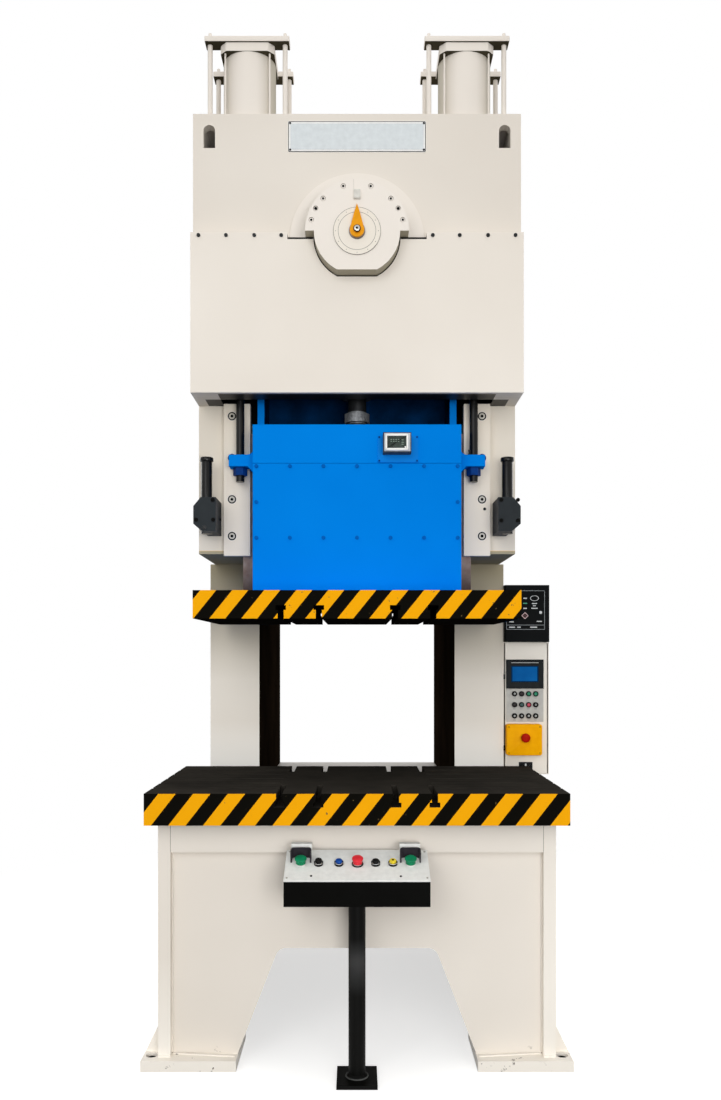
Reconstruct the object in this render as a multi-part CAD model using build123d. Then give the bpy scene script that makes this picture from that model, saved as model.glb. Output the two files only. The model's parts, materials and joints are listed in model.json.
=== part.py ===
from build123d import *
import math
import os

# Gap-frame mechanical stamping press, about 3000 kN, one crank driven through a gear and a flywheel.
# Millimetres. X to the right, Y to the back, Z up. The origin is on the floor under the ram's axis.

os.makedirs("parts", exist_ok=True)

# Bolster and its T-slots
BOLSTER_X = 750
BOLSTER_Y = 420
BOLSTER_LOW = 888
BOLSTER_TOP = 1000
SLOT_NECK = 22
SLOT_FOOT = 38
SLOT_FOOT_H = 17
SLOT_DEPTH = 48
SLOT_PITCH = 137
FRONT_SLOT_L = 230
REAR_SLOT_L = 200
SIDE_SLOT_END = 283

# Welded base
BASE_X = 718
BASE_FRONT = -332
BASE_BACK = 1570
BASE_WALL = 45
PANEL_FRONT = -302
PANEL_T = 30
RAIL_LOW = 776
DECK_T = 40
FOOT_T = 38
FOOT_IN = 432
FOOT_OUT = 774
FOOT_FRONT = -369
FOOT_REAR = 1610
FOOT_L = 300
ANCHOR_X = 743
ANCHOR_FRONT = -315
ANCHOR_REAR = 1556
ANCHOR_R = 21.5
ARCH_TOP = 422
ARCH_TOP_X = 285
ARCH_FOOT_X = 434
ARCH_R = 40
GUSSET_TOP = 152

# Side frames: columns below, guide jaws above
COLUMN_IN = 430
COLUMN_OUT = 645
COLUMN_FRONT = 430
FRAME_BACK = 1570
JAW_IN = 450.3
JAW_OUT = 625
JAW_LOW = 1887
REAR_GIB_IN = 400
REAR_GIB_FRONT = 320.4
REAR_GIB_BACK = 380

# Gib plates
GIB_IN = 419
GIB_OUT = 522
GIB_FRONT = -34
GIB_LOW = 1877
GIB_BOLT_X = 490
GIB_BOLT_Z = (1954, 2098, 2260, 2424)
GIB_BOLT_R = 10
GIB_HEAD_R = 16.5
GIB_HEAD_H = 18
GIB_COUNTERBORE_R = 19

# Head
HEAD_X = 625
HEAD_FRONT = -137
HEAD_LOW = 2472
HEAD_TOP = 3550
HEAD_WALL = 40
HEAD_TOP_BACK = 860
SHELF_FRONT = 1000
SHELF_Z = 3150
CHEEK_IN = 525
ROOF_T = 30
COVER_FRONT = -197
COVER_TOP = 3073
COVER_T = 6
NOTCH_X = 261
NOTCH_Z = 3051
COVER_SCREW_X = (284, 385, 491, 594)
LIFT_SLOT_X = 563
LIFT_SLOT_R = 22
LIFT_SLOT_LOW = 3420
LIFT_SLOT_ARC_Z = 3486

# Crank and its bearings
CRANK_Z = 3052
STROKE = 200
THROW = STROKE / 2
NOSE_R = 30
FRONT_JOURNAL_R = 90
MAIN_JOURNAL_R = 110
PIN_R = 105
PIN_Y = 62
WEB_R = 125
FRONT_WEB_Y = -95
REAR_WEB_Y = 110
MIDDLE_PLATE_Y = (125, 185)
REAR_PLATE_Y = (360, 420)
MIDDLE_PLATE_LOW = 2640
BUSH_T = 25
RUNNING = 0.05
GEAR_Y = (232, 328)

# Front bearing cover with its angle dial
DISC_R = 256
DISC_CENTRE_Z = 3062
DISC_LOW = 3074
DISC_T = 12
FLANGE_R = 192
FLANGE_LOW = 3054
BOSS_R = 159
BOSS_FLAT = 141
BOSS_FRONT = -253
COVER_BOLT_RING = 174
COVER_BOLT_ANGLES = (17, 46, 61, 76)
COVER_BOLT_R = 8
DIAL_R = 88
DIAL_T = 3
POINTER_L = 95
POINTER_HUB_R = 27
INDEX_Z = (3169, 3204)

# Gear drive
MODULE = 10
GEAR_TEETH = 72
PINION_TEETH = 16
ADDENDUM = 8
DEDENDUM = 11
TOOTH_SHARE = 0.42
DRIVE_Z = CRANK_Z - MODULE * (GEAR_TEETH + PINION_TEETH) / 2
DRIVE_R = 60
FLYWHEEL_R = 440
FLYWHEEL_Y = (1620, 1740)
MOTOR_Z = 3375
MOTOR_R = 190
PULLEY_R = 110
GUARD_BACK = 1840
BELT_Y = (1634, 1659, 1684, 1709)
BELT_W = 17
BELT_T = 8

# Slide
FLANGE_X = 590
FLANGE_Y = 350
SLIDE_LOW = 1619
FLANGE_TOP = 1721
SLIDE_X = 395
SLIDE_BACK = 320
SLIDE_TOP = 2361
COVER_PLATE_Y = -148
SLIDE_FRONT = -160
SLIDE_CAVITY_X = 345
SLIDE_CAVITY_Y = (-108, 270)
SLIDE_FLOOR = 1840
SEAM_Z = 2215
TOWER_X = (364, 391)
TOWER_Y = (-20, 200)
TOWER_TOP = 2600
WAY_X = 450
WAY_FRONT = 0.4
EAR_X = 493
EAR_Y = (-106, -41)
EAR_Z = (2214, 2258)
PULL_X = 453
PULL_Y = -70
PULL_R = 16
PULL_END = 2159
YOKE_Z = (2900, 2940)

# Balance cylinders on the head
CYLINDER_X = 422
CYLINDER_Y = 30
CYLINDER_R = 104
BORE_R = 95
CYLINDER_TOP = 3794
CAP_HALF = 105
TIE_SPACING = 85
TIE_R = 7
CAP_TOP = 3828
TOP_PLATE_HALF = 167
TOP_PLATE_T = 18
STUD_SPACING = 147
STUD_R = 12
PISTON_ROD_R = 22

# Clamp units on the jaws
CLAMP_X = (536, 621)
CLAMP_FRONT = -155
CLAMP_Z = (1958, 2087)
CLAMP_POST = (582, -78)

# Control cabinet on the right column
CABINET_X = (645, 848)
CABINET_Y = (445, 760)
CABINET_Z = (961, 1545)
CONTROLLER_X = (646, 842)
CONTROLLER_Y = (400, 690)
CONTROLLER_Z = (1545, 1794)
DOOR_FRONT = 439
STOP_X = 743
STOP_Z = 1124

# Two-hand console on its post
CONSOLE_X = 250
CONSOLE_FRONT = -530
CONSOLE_BACK = -364
CONSOLE_LOW = 631
CONSOLE_EDGE = 720
CONSOLE_REAR_TOP = 789
CONSOLE_WALL = 3
POST_Y = -430
POST_R = 30
CONTROL_ROW = 92
CONTROL_X = {
    "left_palm_button": -196,
    "mode_selector": -134,
    "blue_button": -63,
    "red_stop_button": 2,
    "black_button": 65,
    "key_switch": 125,
    "right_palm_button": 187,
}
STEM_R = 8
COLLAR_R = 15
COLLAR_H = 4


def block(x0, x1, y0, y1, z0, z1):
    """A rectangular block between two corners."""
    return Pos((x0 + x1) / 2, (y0 + y1) / 2, (z0 + z1) / 2) * Box(x1 - x0, y1 - y0, z1 - z0)


def bar_y(x, z, y0, y1, r):
    """A round bar lying along Y."""
    return Pos(x, (y0 + y1) / 2, z) * Rot(90, 0, 0) * Cylinder(r, y1 - y0)


def bar_z(x, y, z0, z1, r):
    """An upright round bar."""
    return Pos(x, y, (z0 + z1) / 2) * Cylinder(r, z1 - z0)


def slab_y(outline, y0, y1):
    """An outline drawn in X and Z, as thick as y0 to y1."""
    return Pos(0, y0, 0) * extrude(Plane.XZ * outline, amount=y1 - y0, dir=(0, 1, 0))


def slab_x(outline, x0, x1):
    """An outline drawn in Y and Z, as thick as x0 to x1."""
    return Pos(x0, 0, 0) * extrude(Plane.YZ * outline, amount=x1 - x0)


def polygon(*points):
    """A closed flat outline with straight sides."""
    return make_face(Polyline(*points, close=True))


def mirrored(shape):
    """The same shape on the other side of the machine."""
    return mirror(shape, about=Plane.YZ)


def both(shape):
    """A shape and its mirror image, joined."""
    return shape + mirrored(shape)


def save(name, *shapes):
    """Write one node, as one solid or as a group of separate solids."""
    solids = [solid for shape in shapes for solid in shape.solids()]
    export_step(solids[0] if len(solids) == 1 else Compound(children=solids), f"parts/{name}.step")


def t_slot_y(x, y0, y1, top):
    """The space of a T-slot that runs along Y below a face."""
    neck = block(x - SLOT_NECK / 2, x + SLOT_NECK / 2, y0, y1, top - SLOT_DEPTH, top)
    foot_top = top - SLOT_DEPTH + SLOT_FOOT_H
    return neck + block(x - SLOT_FOOT / 2, x + SLOT_FOOT / 2, y0, y1, top - SLOT_DEPTH, foot_top)


def t_slot_x(y, x0, x1, top):
    """The space of a T-slot that runs along X below a face."""
    neck = block(x0, x1, y - SLOT_NECK / 2, y + SLOT_NECK / 2, top - SLOT_DEPTH, top)
    foot_top = top - SLOT_DEPTH + SLOT_FOOT_H
    return neck + block(x0, x1, y - SLOT_FOOT / 2, y + SLOT_FOOT / 2, top - SLOT_DEPTH, foot_top)


def hull_outline(top_z, top_r, low_z, low_r):
    """The outline that a tight belt makes round two circles on the centre line."""
    lean = math.asin((low_r - top_r) / (top_z - low_z))
    reach_x = math.cos(lean)
    reach_z = math.sin(lean)
    sides = polygon(
        (top_r * reach_x, top_z + top_r * reach_z),
        (-top_r * reach_x, top_z + top_r * reach_z),
        (-low_r * reach_x, low_z + low_r * reach_z),
        (low_r * reach_x, low_z + low_r * reach_z),
    )
    return sides + Pos(0, top_z) * Circle(top_r) + Pos(0, low_z) * Circle(low_r)


def gear_outline(teeth, turn):
    """A spur gear's outline with straight flanks, its first tooth turned from the X axis."""
    pitch_r = MODULE * teeth / 2
    pitch = math.tau / teeth
    lean = math.tan(math.radians(20))
    half = TOOTH_SHARE * MODULE * math.pi / 2
    root = (pitch_r - DEDENDUM, half + DEDENDUM * lean)
    tip = (pitch_r + ADDENDUM, half - ADDENDUM * lean)
    points = []
    for tooth in range(teeth):
        middle = tooth * pitch + turn
        for radius, width, side in ((*root, -1), (*tip, -1), (*tip, 1), (*root, 1)):
            angle = middle + side * width / radius
            points.append((radius * math.cos(angle), radius * math.sin(angle)))
    return polygon(*points)


# Welded frame: base, two side frames and the head

def make_base_frame():
    arch = polygon(
        (-ARCH_FOOT_X, 0),
        (-ARCH_FOOT_X, FOOT_T),
        (-ARCH_TOP_X, ARCH_TOP),
        (ARCH_TOP_X, ARCH_TOP),
        (ARCH_FOOT_X, FOOT_T),
        (ARCH_FOOT_X, 0),
    )
    corners = arch.vertices().sort_by(Axis.Y)[-2:]
    arch = fillet(corners, ARCH_R)
    inner = BASE_X - BASE_WALL
    front = block(-inner, inner, PANEL_FRONT, PANEL_FRONT + PANEL_T, 0, BOLSTER_LOW)
    rear = block(-inner, inner, BASE_BACK - PANEL_T, BASE_BACK, 0, BOLSTER_LOW)
    frame = front + rear
    frame += block(-inner, inner, BASE_FRONT, PANEL_FRONT, RAIL_LOW, BOLSTER_LOW)
    frame += block(-inner, inner, PANEL_FRONT, BASE_BACK, BOLSTER_LOW - DECK_T, BOLSTER_LOW)
    frame += both(block(inner, BASE_X, BASE_FRONT, BASE_BACK, 0, BOLSTER_LOW))
    frame -= slab_y(arch, FOOT_FRONT, FOOT_REAR)
    gusset = polygon((BASE_X, GUSSET_TOP), (FOOT_OUT, FOOT_T), (BASE_X, FOOT_T))
    feet = block(FOOT_IN, FOOT_OUT, FOOT_FRONT, FOOT_FRONT + FOOT_L, 0, FOOT_T)
    feet += block(FOOT_IN, FOOT_OUT, FOOT_REAR - FOOT_L, FOOT_REAR, 0, FOOT_T)
    feet += slab_y(gusset, -282, -262)
    feet += slab_y(gusset, 1490, 1510)
    feet -= bar_z(ANCHOR_X, ANCHOR_FRONT, -1, FOOT_T + 1, ANCHOR_R)
    feet -= bar_z(ANCHOR_X, ANCHOR_REAR, -1, FOOT_T + 1, ANCHOR_R)
    return frame + both(feet)


def make_right_upright():
    column = block(COLUMN_IN, COLUMN_OUT, COLUMN_FRONT, FRAME_BACK, BOLSTER_LOW, JAW_LOW)
    jaw = block(JAW_IN, JAW_OUT, 0, FRAME_BACK, JAW_LOW, HEAD_LOW)
    rear_gib = block(REAR_GIB_IN, JAW_IN, REAR_GIB_FRONT, REAR_GIB_BACK, JAW_LOW, HEAD_LOW)
    side = column + jaw + rear_gib
    for z in GIB_BOLT_Z:
        side -= bar_y(GIB_BOLT_X, z, -1, 42, GIB_BOLT_R + 0.3)
    return side


def make_head_frame():
    profile = polygon(
        (HEAD_FRONT, HEAD_LOW),
        (HEAD_FRONT, HEAD_TOP),
        (HEAD_TOP_BACK, HEAD_TOP),
        (SHELF_FRONT, SHELF_Z),
        (FRAME_BACK, SHELF_Z),
        (FRAME_BACK, HEAD_LOW),
    )
    inner = HEAD_X - HEAD_WALL
    back = HEAD_FRONT + HEAD_WALL
    under_roof = HEAD_TOP - ROOF_T
    head = both(slab_x(profile, inner, HEAD_X))
    head += both(block(CHEEK_IN, inner, HEAD_FRONT, FRAME_BACK, HEAD_LOW, HEAD_LOW + HEAD_WALL))
    front = block(-inner, inner, HEAD_FRONT, back, HEAD_LOW, HEAD_TOP)
    front -= bar_y(0, CRANK_Z, HEAD_FRONT - 1, back + 1, FRONT_JOURNAL_R + BUSH_T)
    slot = block(-LIFT_SLOT_R, LIFT_SLOT_R, HEAD_FRONT - 1, back + 1, LIFT_SLOT_LOW, LIFT_SLOT_ARC_Z)
    slot += bar_y(0, LIFT_SLOT_ARC_Z, HEAD_FRONT - 1, back + 1, LIFT_SLOT_R)
    front -= both(Pos(LIFT_SLOT_X, 0, 0) * slot)
    slope = polygon(
        (HEAD_TOP_BACK, HEAD_TOP),
        (SHELF_FRONT, SHELF_Z),
        (SHELF_FRONT - ROOF_T, SHELF_Z - ROOF_T),
        (HEAD_TOP_BACK - ROOF_T, under_roof),
    )
    roof = block(-inner, inner, back, HEAD_TOP_BACK, under_roof, HEAD_TOP)
    roof += slab_x(slope, -inner, inner)
    roof += block(-inner, inner, SHELF_FRONT - ROOF_T, FRAME_BACK, SHELF_Z - ROOF_T, SHELF_Z)
    gland = bar_z(CYLINDER_X, CYLINDER_Y, under_roof - 1, HEAD_TOP + 1, PISTON_ROD_R + RUNNING)
    roof -= both(gland)
    middle = block(-inner, inner, *MIDDLE_PLATE_Y, MIDDLE_PLATE_LOW, under_roof)
    middle -= bar_y(0, CRANK_Z, MIDDLE_PLATE_Y[0] - 1, MIDDLE_PLATE_Y[1] + 1, MAIN_JOURNAL_R + BUSH_T)
    rear = block(-inner, inner, *REAR_PLATE_Y, HEAD_LOW, under_roof)
    rear -= bar_y(0, CRANK_Z, REAR_PLATE_Y[0] - 1, REAR_PLATE_Y[1] + 1, FRONT_JOURNAL_R + BUSH_T)
    back_wall = block(-inner, inner, FRAME_BACK - HEAD_WALL, FRAME_BACK, HEAD_LOW, SHELF_Z)
    shaft_hole = bar_y(0, DRIVE_Z, 0, FRAME_BACK + 1, DRIVE_R + RUNNING)
    return head + front + roof + middle + (rear - shaft_hole) + (back_wall - shaft_hole)


def make_bolster():
    plate = block(-BOLSTER_X, BOLSTER_X, -BOLSTER_Y, BOLSTER_Y, BOLSTER_LOW, BOLSTER_TOP)
    for x in (SLOT_PITCH, 2 * SLOT_PITCH):
        plate -= both(t_slot_y(x, -BOLSTER_Y - 1, -BOLSTER_Y + FRONT_SLOT_L, BOLSTER_TOP))
        plate -= both(t_slot_y(x, BOLSTER_Y - REAR_SLOT_L, BOLSTER_Y + 1, BOLSTER_TOP))
    for row in range(-2, 3):
        slot = t_slot_x(row * SLOT_PITCH, SIDE_SLOT_END, BOLSTER_X + 1, BOLSTER_TOP)
        plate -= both(slot)
    return plate


def make_right_gib():
    plate = block(GIB_IN, GIB_OUT, GIB_FRONT, 0, GIB_LOW, HEAD_LOW)
    for z in GIB_BOLT_Z:
        plate -= bar_y(GIB_BOLT_X, z, GIB_FRONT - 1, 1, GIB_BOLT_R + 0.3)
        plate -= bar_y(GIB_BOLT_X, z, GIB_FRONT - 1, GIB_FRONT + GIB_HEAD_H + 2, GIB_COUNTERBORE_R)
    return plate


def make_gib_bolt(x, z):
    head_end = GIB_FRONT + GIB_HEAD_H + 2
    bolt = bar_y(x, z, GIB_FRONT + 2, head_end, GIB_HEAD_R)
    bolt += bar_y(x, z, head_end, 40, GIB_BOLT_R)
    socket = Pos(x, GIB_FRONT + 2, z) * Rot(90, 0, 0) * extrude(RegularPolygon(8, 6), -9)
    return bolt - socket


def make_right_clamp_block():
    x0, x1 = CLAMP_X
    z0, z1 = CLAMP_Z
    outline = polygon(
        (x0, z0),
        (x1 - 32, z0),
        (x1, z0 + 28),
        (x1, z1 - 34),
        (x1 - 28, z1),
        (x0, z1),
    )
    shape = slab_y(outline, CLAMP_FRONT, 0)
    return shape - bar_z(*CLAMP_POST, z0 - 1, z1 + 1, 21.3)


def make_right_clamp_post():
    post = bar_z(*CLAMP_POST, 1938, 2236, 21)
    return post + bar_z(*CLAMP_POST, 2236, 2252, 26)


# Head cover and the crank's front bearing cover

def make_front_cover():
    outer = block(-HEAD_X, HEAD_X, COVER_FRONT, HEAD_FRONT, HEAD_LOW, COVER_TOP)
    inner_x = HEAD_X - COVER_T
    hollow = block(-inner_x, inner_x, COVER_FRONT + COVER_T, HEAD_FRONT + 1, HEAD_LOW + COVER_T, COVER_TOP - COVER_T)
    cover = outer - hollow
    cover -= block(-NOTCH_X, NOTCH_X, COVER_FRONT - 1, HEAD_FRONT + 1, NOTCH_Z, COVER_TOP + 1)
    cover -= bar_y(0, CRANK_Z, COVER_FRONT - 1, HEAD_FRONT + 1, BOSS_R + 4)
    return cover


def make_cover_screw(x):
    z = COVER_TOP - COVER_T
    return bar_y(x, z - 6, COVER_FRONT - 4, COVER_FRONT, 7)


def make_dial_backing():
    upper = Pos(0, DISC_LOW + DISC_R / 2) * Rectangle(2 * DISC_R, DISC_R)
    outline = (Pos(0, DISC_CENTRE_Z) * Circle(DISC_R)) & upper
    plate = slab_y(outline, HEAD_FRONT - DISC_T, HEAD_FRONT)
    return plate - bar_y(0, CRANK_Z, HEAD_FRONT - DISC_T - 1, HEAD_FRONT + 1, BOSS_R + 0.3)


def cover_bolt_place(angle):
    """Where a bolt of the bearing cover stands, its angle counted from straight up."""
    turn = math.radians(angle)
    return COVER_BOLT_RING * math.sin(turn), CRANK_Z + COVER_BOLT_RING * math.cos(turn)


def make_bearing_cover():
    axis = Pos(0, CRANK_Z)
    low_cut = axis * Pos(0, BOSS_R - BOSS_FLAT) * Rectangle(2 * BOSS_R, 2 * BOSS_R)
    cover = slab_y((axis * Circle(BOSS_R)) & low_cut, BOSS_FRONT, HEAD_FRONT)
    upper = Pos(0, FLANGE_LOW + FLANGE_R / 2) * Rectangle(2 * FLANGE_R, FLANGE_R)
    cover += slab_y((axis * Circle(FLANGE_R)) & upper, BOSS_FRONT, HEAD_FRONT - DISC_T)
    for angle in COVER_BOLT_ANGLES:
        x, z = cover_bolt_place(angle)
        cover -= both(bar_y(x, z, BOSS_FRONT - 1, BOSS_FRONT + 12, COVER_BOLT_R + 1.5))
    return cover - bar_y(0, CRANK_Z, BOSS_FRONT - 1, HEAD_FRONT + 1, NOSE_R + RUNNING)


def make_cover_bolt(angle):
    x, z = cover_bolt_place(angle)
    bolt = bar_y(x, z, BOSS_FRONT + 2, BOSS_FRONT + 12, COVER_BOLT_R)
    socket = Pos(x, BOSS_FRONT + 2, z) * Rot(90, 0, 0) * extrude(RegularPolygon(4.5, 6), -5)
    return bolt - socket


def make_dial_ring():
    ring = bar_y(0, CRANK_Z, BOSS_FRONT - DIAL_T, BOSS_FRONT, DIAL_R)
    return ring - bar_y(0, CRANK_Z, BOSS_FRONT - DIAL_T - 1, BOSS_FRONT + 1, NOSE_R + 1)


def make_index_block():
    body = block(-12, 12, BOSS_FRONT - 12, BOSS_FRONT, *INDEX_Z)
    top_edges = body.edges().filter_by(Axis.X).group_by(Axis.Y)[0]
    return chamfer(top_edges, 4)


# Crank train

def make_crankshaft():
    web = Pos(0, CRANK_Z + THROW / 2) * Rot(0, 0, 90) * SlotCenterToCenter(THROW, 2 * WEB_R)
    shaft = bar_y(0, CRANK_Z, BOSS_FRONT - 9, HEAD_FRONT + 0.5, NOSE_R)
    shaft += bar_y(0, CRANK_Z, HEAD_FRONT + 0.5, FRONT_WEB_Y, FRONT_JOURNAL_R)
    shaft += slab_y(web, FRONT_WEB_Y, -PIN_Y)
    shaft += bar_y(0, CRANK_Z + THROW, -PIN_Y, PIN_Y, PIN_R)
    shaft += slab_y(web, PIN_Y, REAR_WEB_Y)
    shaft += bar_y(0, CRANK_Z, REAR_WEB_Y, REAR_PLATE_Y[0] - 12, MAIN_JOURNAL_R)
    shaft += bar_y(0, CRANK_Z, REAR_PLATE_Y[0] - 12, REAR_PLATE_Y[1] + 14, FRONT_JOURNAL_R)
    return shaft


def make_bush(y0, y1, journal_r):
    return bar_y(0, CRANK_Z, y0, y1, journal_r + BUSH_T) - bar_y(0, CRANK_Z, y0 - 1, y1 + 1, journal_r + RUNNING)


def make_main_gear():
    outline = Pos(0, CRANK_Z) * gear_outline(GEAR_TEETH, 0)
    gear = slab_y(outline, *GEAR_Y)
    for y0, y1 in ((GEAR_Y[0] - 1, GEAR_Y[0] + 30), (GEAR_Y[1] - 30, GEAR_Y[1] + 1)):
        gear -= bar_y(0, CRANK_Z, y0, y1, 310) - bar_y(0, CRANK_Z, y0 - 1, y1 + 1, 160)
    return gear - bar_y(0, CRANK_Z, GEAR_Y[0] - 1, GEAR_Y[1] + 1, MAIN_JOURNAL_R)


def make_pointer():
    tip = CRANK_Z + POINTER_L
    waist = tip - 38
    outline = polygon((-24, CRANK_Z + 12), (-12, waist), (0, tip), (12, waist), (24, CRANK_Z + 12))
    hand = slab_y(outline + Pos(0, CRANK_Z) * Circle(POINTER_HUB_R), BOSS_FRONT - 17, BOSS_FRONT - 9)
    return hand + bar_y(0, CRANK_Z, BOSS_FRONT - 24, BOSS_FRONT - 17, 13)


def make_connecting_rod():
    centre = CRANK_Z + THROW
    side = PIN_Y - 2
    rod = bar_y(0, centre, -side, side, 168)
    shank = polygon((-120, centre - 90), (120, centre - 90), (78, 2560), (-78, 2560))
    rod += slab_y(shank, -side, side)
    rod += bar_z(0, 0, 2500, 2580, 58)
    rod -= bar_y(0, centre, -side - 1, side + 1, PIN_R + RUNNING)
    return rod - bar_z(0, 0, 2499, 2800, 36.05)


def make_adjusting_screw():
    screw = bar_z(0, 0, 2090, 2799, 36)
    screw += Pos(0, 0, 2125) * Sphere(75)
    nut = bar_z(0, 0, 2402, 2437, 50)
    for notch in range(12):
        groove = Pos(51, 0, 2420) * Box(8, 9, 40)
        nut -= Rot(0, 0, 30 * notch) * groove
    return screw + nut


# Drive train

def make_drive_shaft():
    outline = Pos(0, DRIVE_Z) * gear_outline(PINION_TEETH, math.pi / PINION_TEETH)
    shaft = slab_y(outline, GEAR_Y[0] - 4, GEAR_Y[1] + 4)
    shaft += bar_y(0, DRIVE_Z, GEAR_Y[1], FLYWHEEL_Y[1] + 70, DRIVE_R)
    return shaft + bar_y(0, DRIVE_Z, FLYWHEEL_Y[1] + 10, FLYWHEEL_Y[1] + 60, 180)


def make_flywheel():
    y0, y1 = FLYWHEEL_Y
    wheel = bar_y(0, DRIVE_Z, y0, y1, FLYWHEEL_R)
    for a, b in ((y0 - 1, y0 + 38), (y1 - 38, y1 + 1)):
        wheel -= bar_y(0, DRIVE_Z, a, b, 365) - bar_y(0, DRIVE_Z, a - 1, b + 1, 120)
    return wheel - bar_y(0, DRIVE_Z, y0 - 1, y1 + 1, DRIVE_R + RUNNING)


def make_motor_pulley():
    pulley = bar_y(0, MOTOR_Z, FLYWHEEL_Y[0] + 10, FLYWHEEL_Y[1] - 10, PULLEY_R)
    for y in BELT_Y:
        ring = bar_y(0, MOTOR_Z, y - 1, y + BELT_W + 1, PULLEY_R + 1)
        pulley -= ring - bar_y(0, MOTOR_Z, y - 2, y + BELT_W + 2, PULLEY_R - BELT_T)
    return pulley + bar_y(0, MOTOR_Z, 1521, FLYWHEEL_Y[1] - 10, 28)


def make_main_motor():
    body = bar_y(0, MOTOR_Z, 1070, 1480, MOTOR_R)
    for fin in range(16):
        rib = Pos(0, 1275, 0) * Box(14, 370, 30)
        body += Pos(0, 0, MOTOR_Z) * Rot(0, 22.5 * fin + 11.25, 0) * Pos(0, 0, MOTOR_R + 6) * rib
    body += bar_y(0, MOTOR_Z, 1480, 1520, 170)
    body += bar_y(0, MOTOR_Z, 1020, 1070, 196)
    foot = block(110, 190, 1110, 1440, SHELF_Z, SHELF_Z + 24)
    foot += block(118, 140, 1130, 1420, SHELF_Z, MOTOR_Z - 100)
    body += both(foot)
    return body + block(-75, 75, 1200, 1360, MOTOR_Z + 150, MOTOR_Z + 250)


def make_belt(y):
    outer = hull_outline(MOTOR_Z, PULLEY_R, DRIVE_Z, FLYWHEEL_R + BELT_T)
    inner = hull_outline(MOTOR_Z, PULLEY_R - BELT_T + 0.4, DRIVE_Z, FLYWHEEL_R + 0.4)
    return slab_y(outer, y, y + BELT_W) - slab_y(inner, y - 1, y + BELT_W + 1)


def make_rear_guard():
    wall = 5
    outer = hull_outline(MOTOR_Z, 165, DRIVE_Z, 490)
    inner = hull_outline(MOTOR_Z, 165 - wall, DRIVE_Z, 490 - wall)
    shell = slab_y(outer, FRAME_BACK, GUARD_BACK)
    shell = chamfer(shell.faces().sort_by(Axis.Y)[-1].edges(), 14)
    guard = shell - slab_y(inner, FRAME_BACK - 1, GUARD_BACK - 16)
    guard -= slab_y(hull_outline(MOTOR_Z, 165 - 20, DRIVE_Z, 490 - 20), GUARD_BACK - 17, GUARD_BACK - wall)
    for row in range(-4, 5):
        slot = Pos(0, 0, DRIVE_Z + 36 * row) * Rot(90, 0, 0) * extrude(SlotOverall(330, 14), 30, both=True)
        guard -= Pos(0, GUARD_BACK, 0) * slot
    return guard


# Slide and what moves with it

def make_slide_body():
    body = block(-FLANGE_X, FLANGE_X, -FLANGE_Y, FLANGE_Y, SLIDE_LOW, FLANGE_TOP)
    for x in (SLOT_PITCH, 2 * SLOT_PITCH):
        slot = mirror(t_slot_y(x, -FLANGE_Y - 1, FLANGE_Y + 1, 0), about=Plane.XY)
        body -= both(Pos(0, 0, SLIDE_LOW) * slot)
    body += block(-SLIDE_X, SLIDE_X, COVER_PLATE_Y, SLIDE_BACK, FLANGE_TOP, SLIDE_TOP)
    body += both(block(SLIDE_X, WAY_X, WAY_FRONT, SLIDE_BACK, FLANGE_TOP, SLIDE_TOP))
    body += both(block(*TOWER_X, *TOWER_Y, SLIDE_TOP, TOWER_TOP))
    body += block(-TOWER_X[0], TOWER_X[0], TOWER_Y[1] - 25, TOWER_Y[1], SLIDE_TOP - 80, TOWER_TOP)
    cavity = block(-SLIDE_CAVITY_X, SLIDE_CAVITY_X, *SLIDE_CAVITY_Y, SLIDE_FLOOR, SLIDE_TOP + 1)
    body -= cavity - block(-SLIDE_X, SLIDE_X, TOWER_Y[1] - 25, TOWER_Y[1], SLIDE_TOP - 80, SLIDE_TOP + 1)
    body += bar_z(0, 0, SLIDE_FLOOR - 10, 2024, 100)
    ear = block(SLIDE_X, EAR_X, *EAR_Y, *EAR_Z)
    fillet_block = block(SLIDE_X, SLIDE_X + 30, *EAR_Y, EAR_Z[1], EAR_Z[1] + 30)
    ear += fillet_block - bar_y(SLIDE_X + 30, EAR_Z[1] + 30, EAR_Y[0] - 1, EAR_Y[1] + 1, 30)
    rib = polygon((SLIDE_X, EAR_Z[0]), (SLIDE_X, EAR_Z[0] - 28), (SLIDE_X + 26, EAR_Z[0]))
    ear += slab_y(rib, *EAR_Y)
    ear -= bar_z(PULL_X, PULL_Y, EAR_Z[0] - 1, EAR_Z[1] + 1, PULL_R + 0.3)
    return body + both(ear)


def make_slide_cover(z0, z1):
    return block(-SLIDE_X, SLIDE_X, SLIDE_FRONT, COVER_PLATE_Y, z0, z1)


def make_slide_bolt(x, z):
    return Pos(x, SLIDE_FRONT - 3, z) * Rot(90, 0, 0) * Cylinder(7, 6)


def make_slide_display():
    plate = block(79, 232, SLIDE_FRONT - 5, SLIDE_FRONT, 2217, 2318)
    case = block(98, 203, SLIDE_FRONT - 55, SLIDE_FRONT - 5, 2245, 2320)
    case = chamfer(case.edges().group_by(Axis.Y)[0], 6)
    case -= block(113, 184, SLIDE_FRONT - 56, SLIDE_FRONT - 49, 2259, 2306)
    return plate + case


def make_right_pull_rod():
    rod = bar_z(PULL_X, PULL_Y, PULL_END, YOKE_Z[0], PULL_R)
    arm = hull_arm(PULL_X, PULL_Y, CYLINDER_X, CYLINDER_Y)
    return rod + arm


def hull_arm(x0, y0, x1, y1):
    """The yoke arm that joins a pull rod to its piston rod."""
    length = math.hypot(x1 - x0, y1 - y0)
    turn = math.degrees(math.atan2(y1 - y0, x1 - x0))
    outline = SlotCenterToCenter(length, 50)
    middle = Pos((x0 + x1) / 2, (y0 + y1) / 2, YOKE_Z[0]) * Rot(0, 0, turn)
    return middle * extrude(outline, YOKE_Z[1] - YOKE_Z[0])


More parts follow.
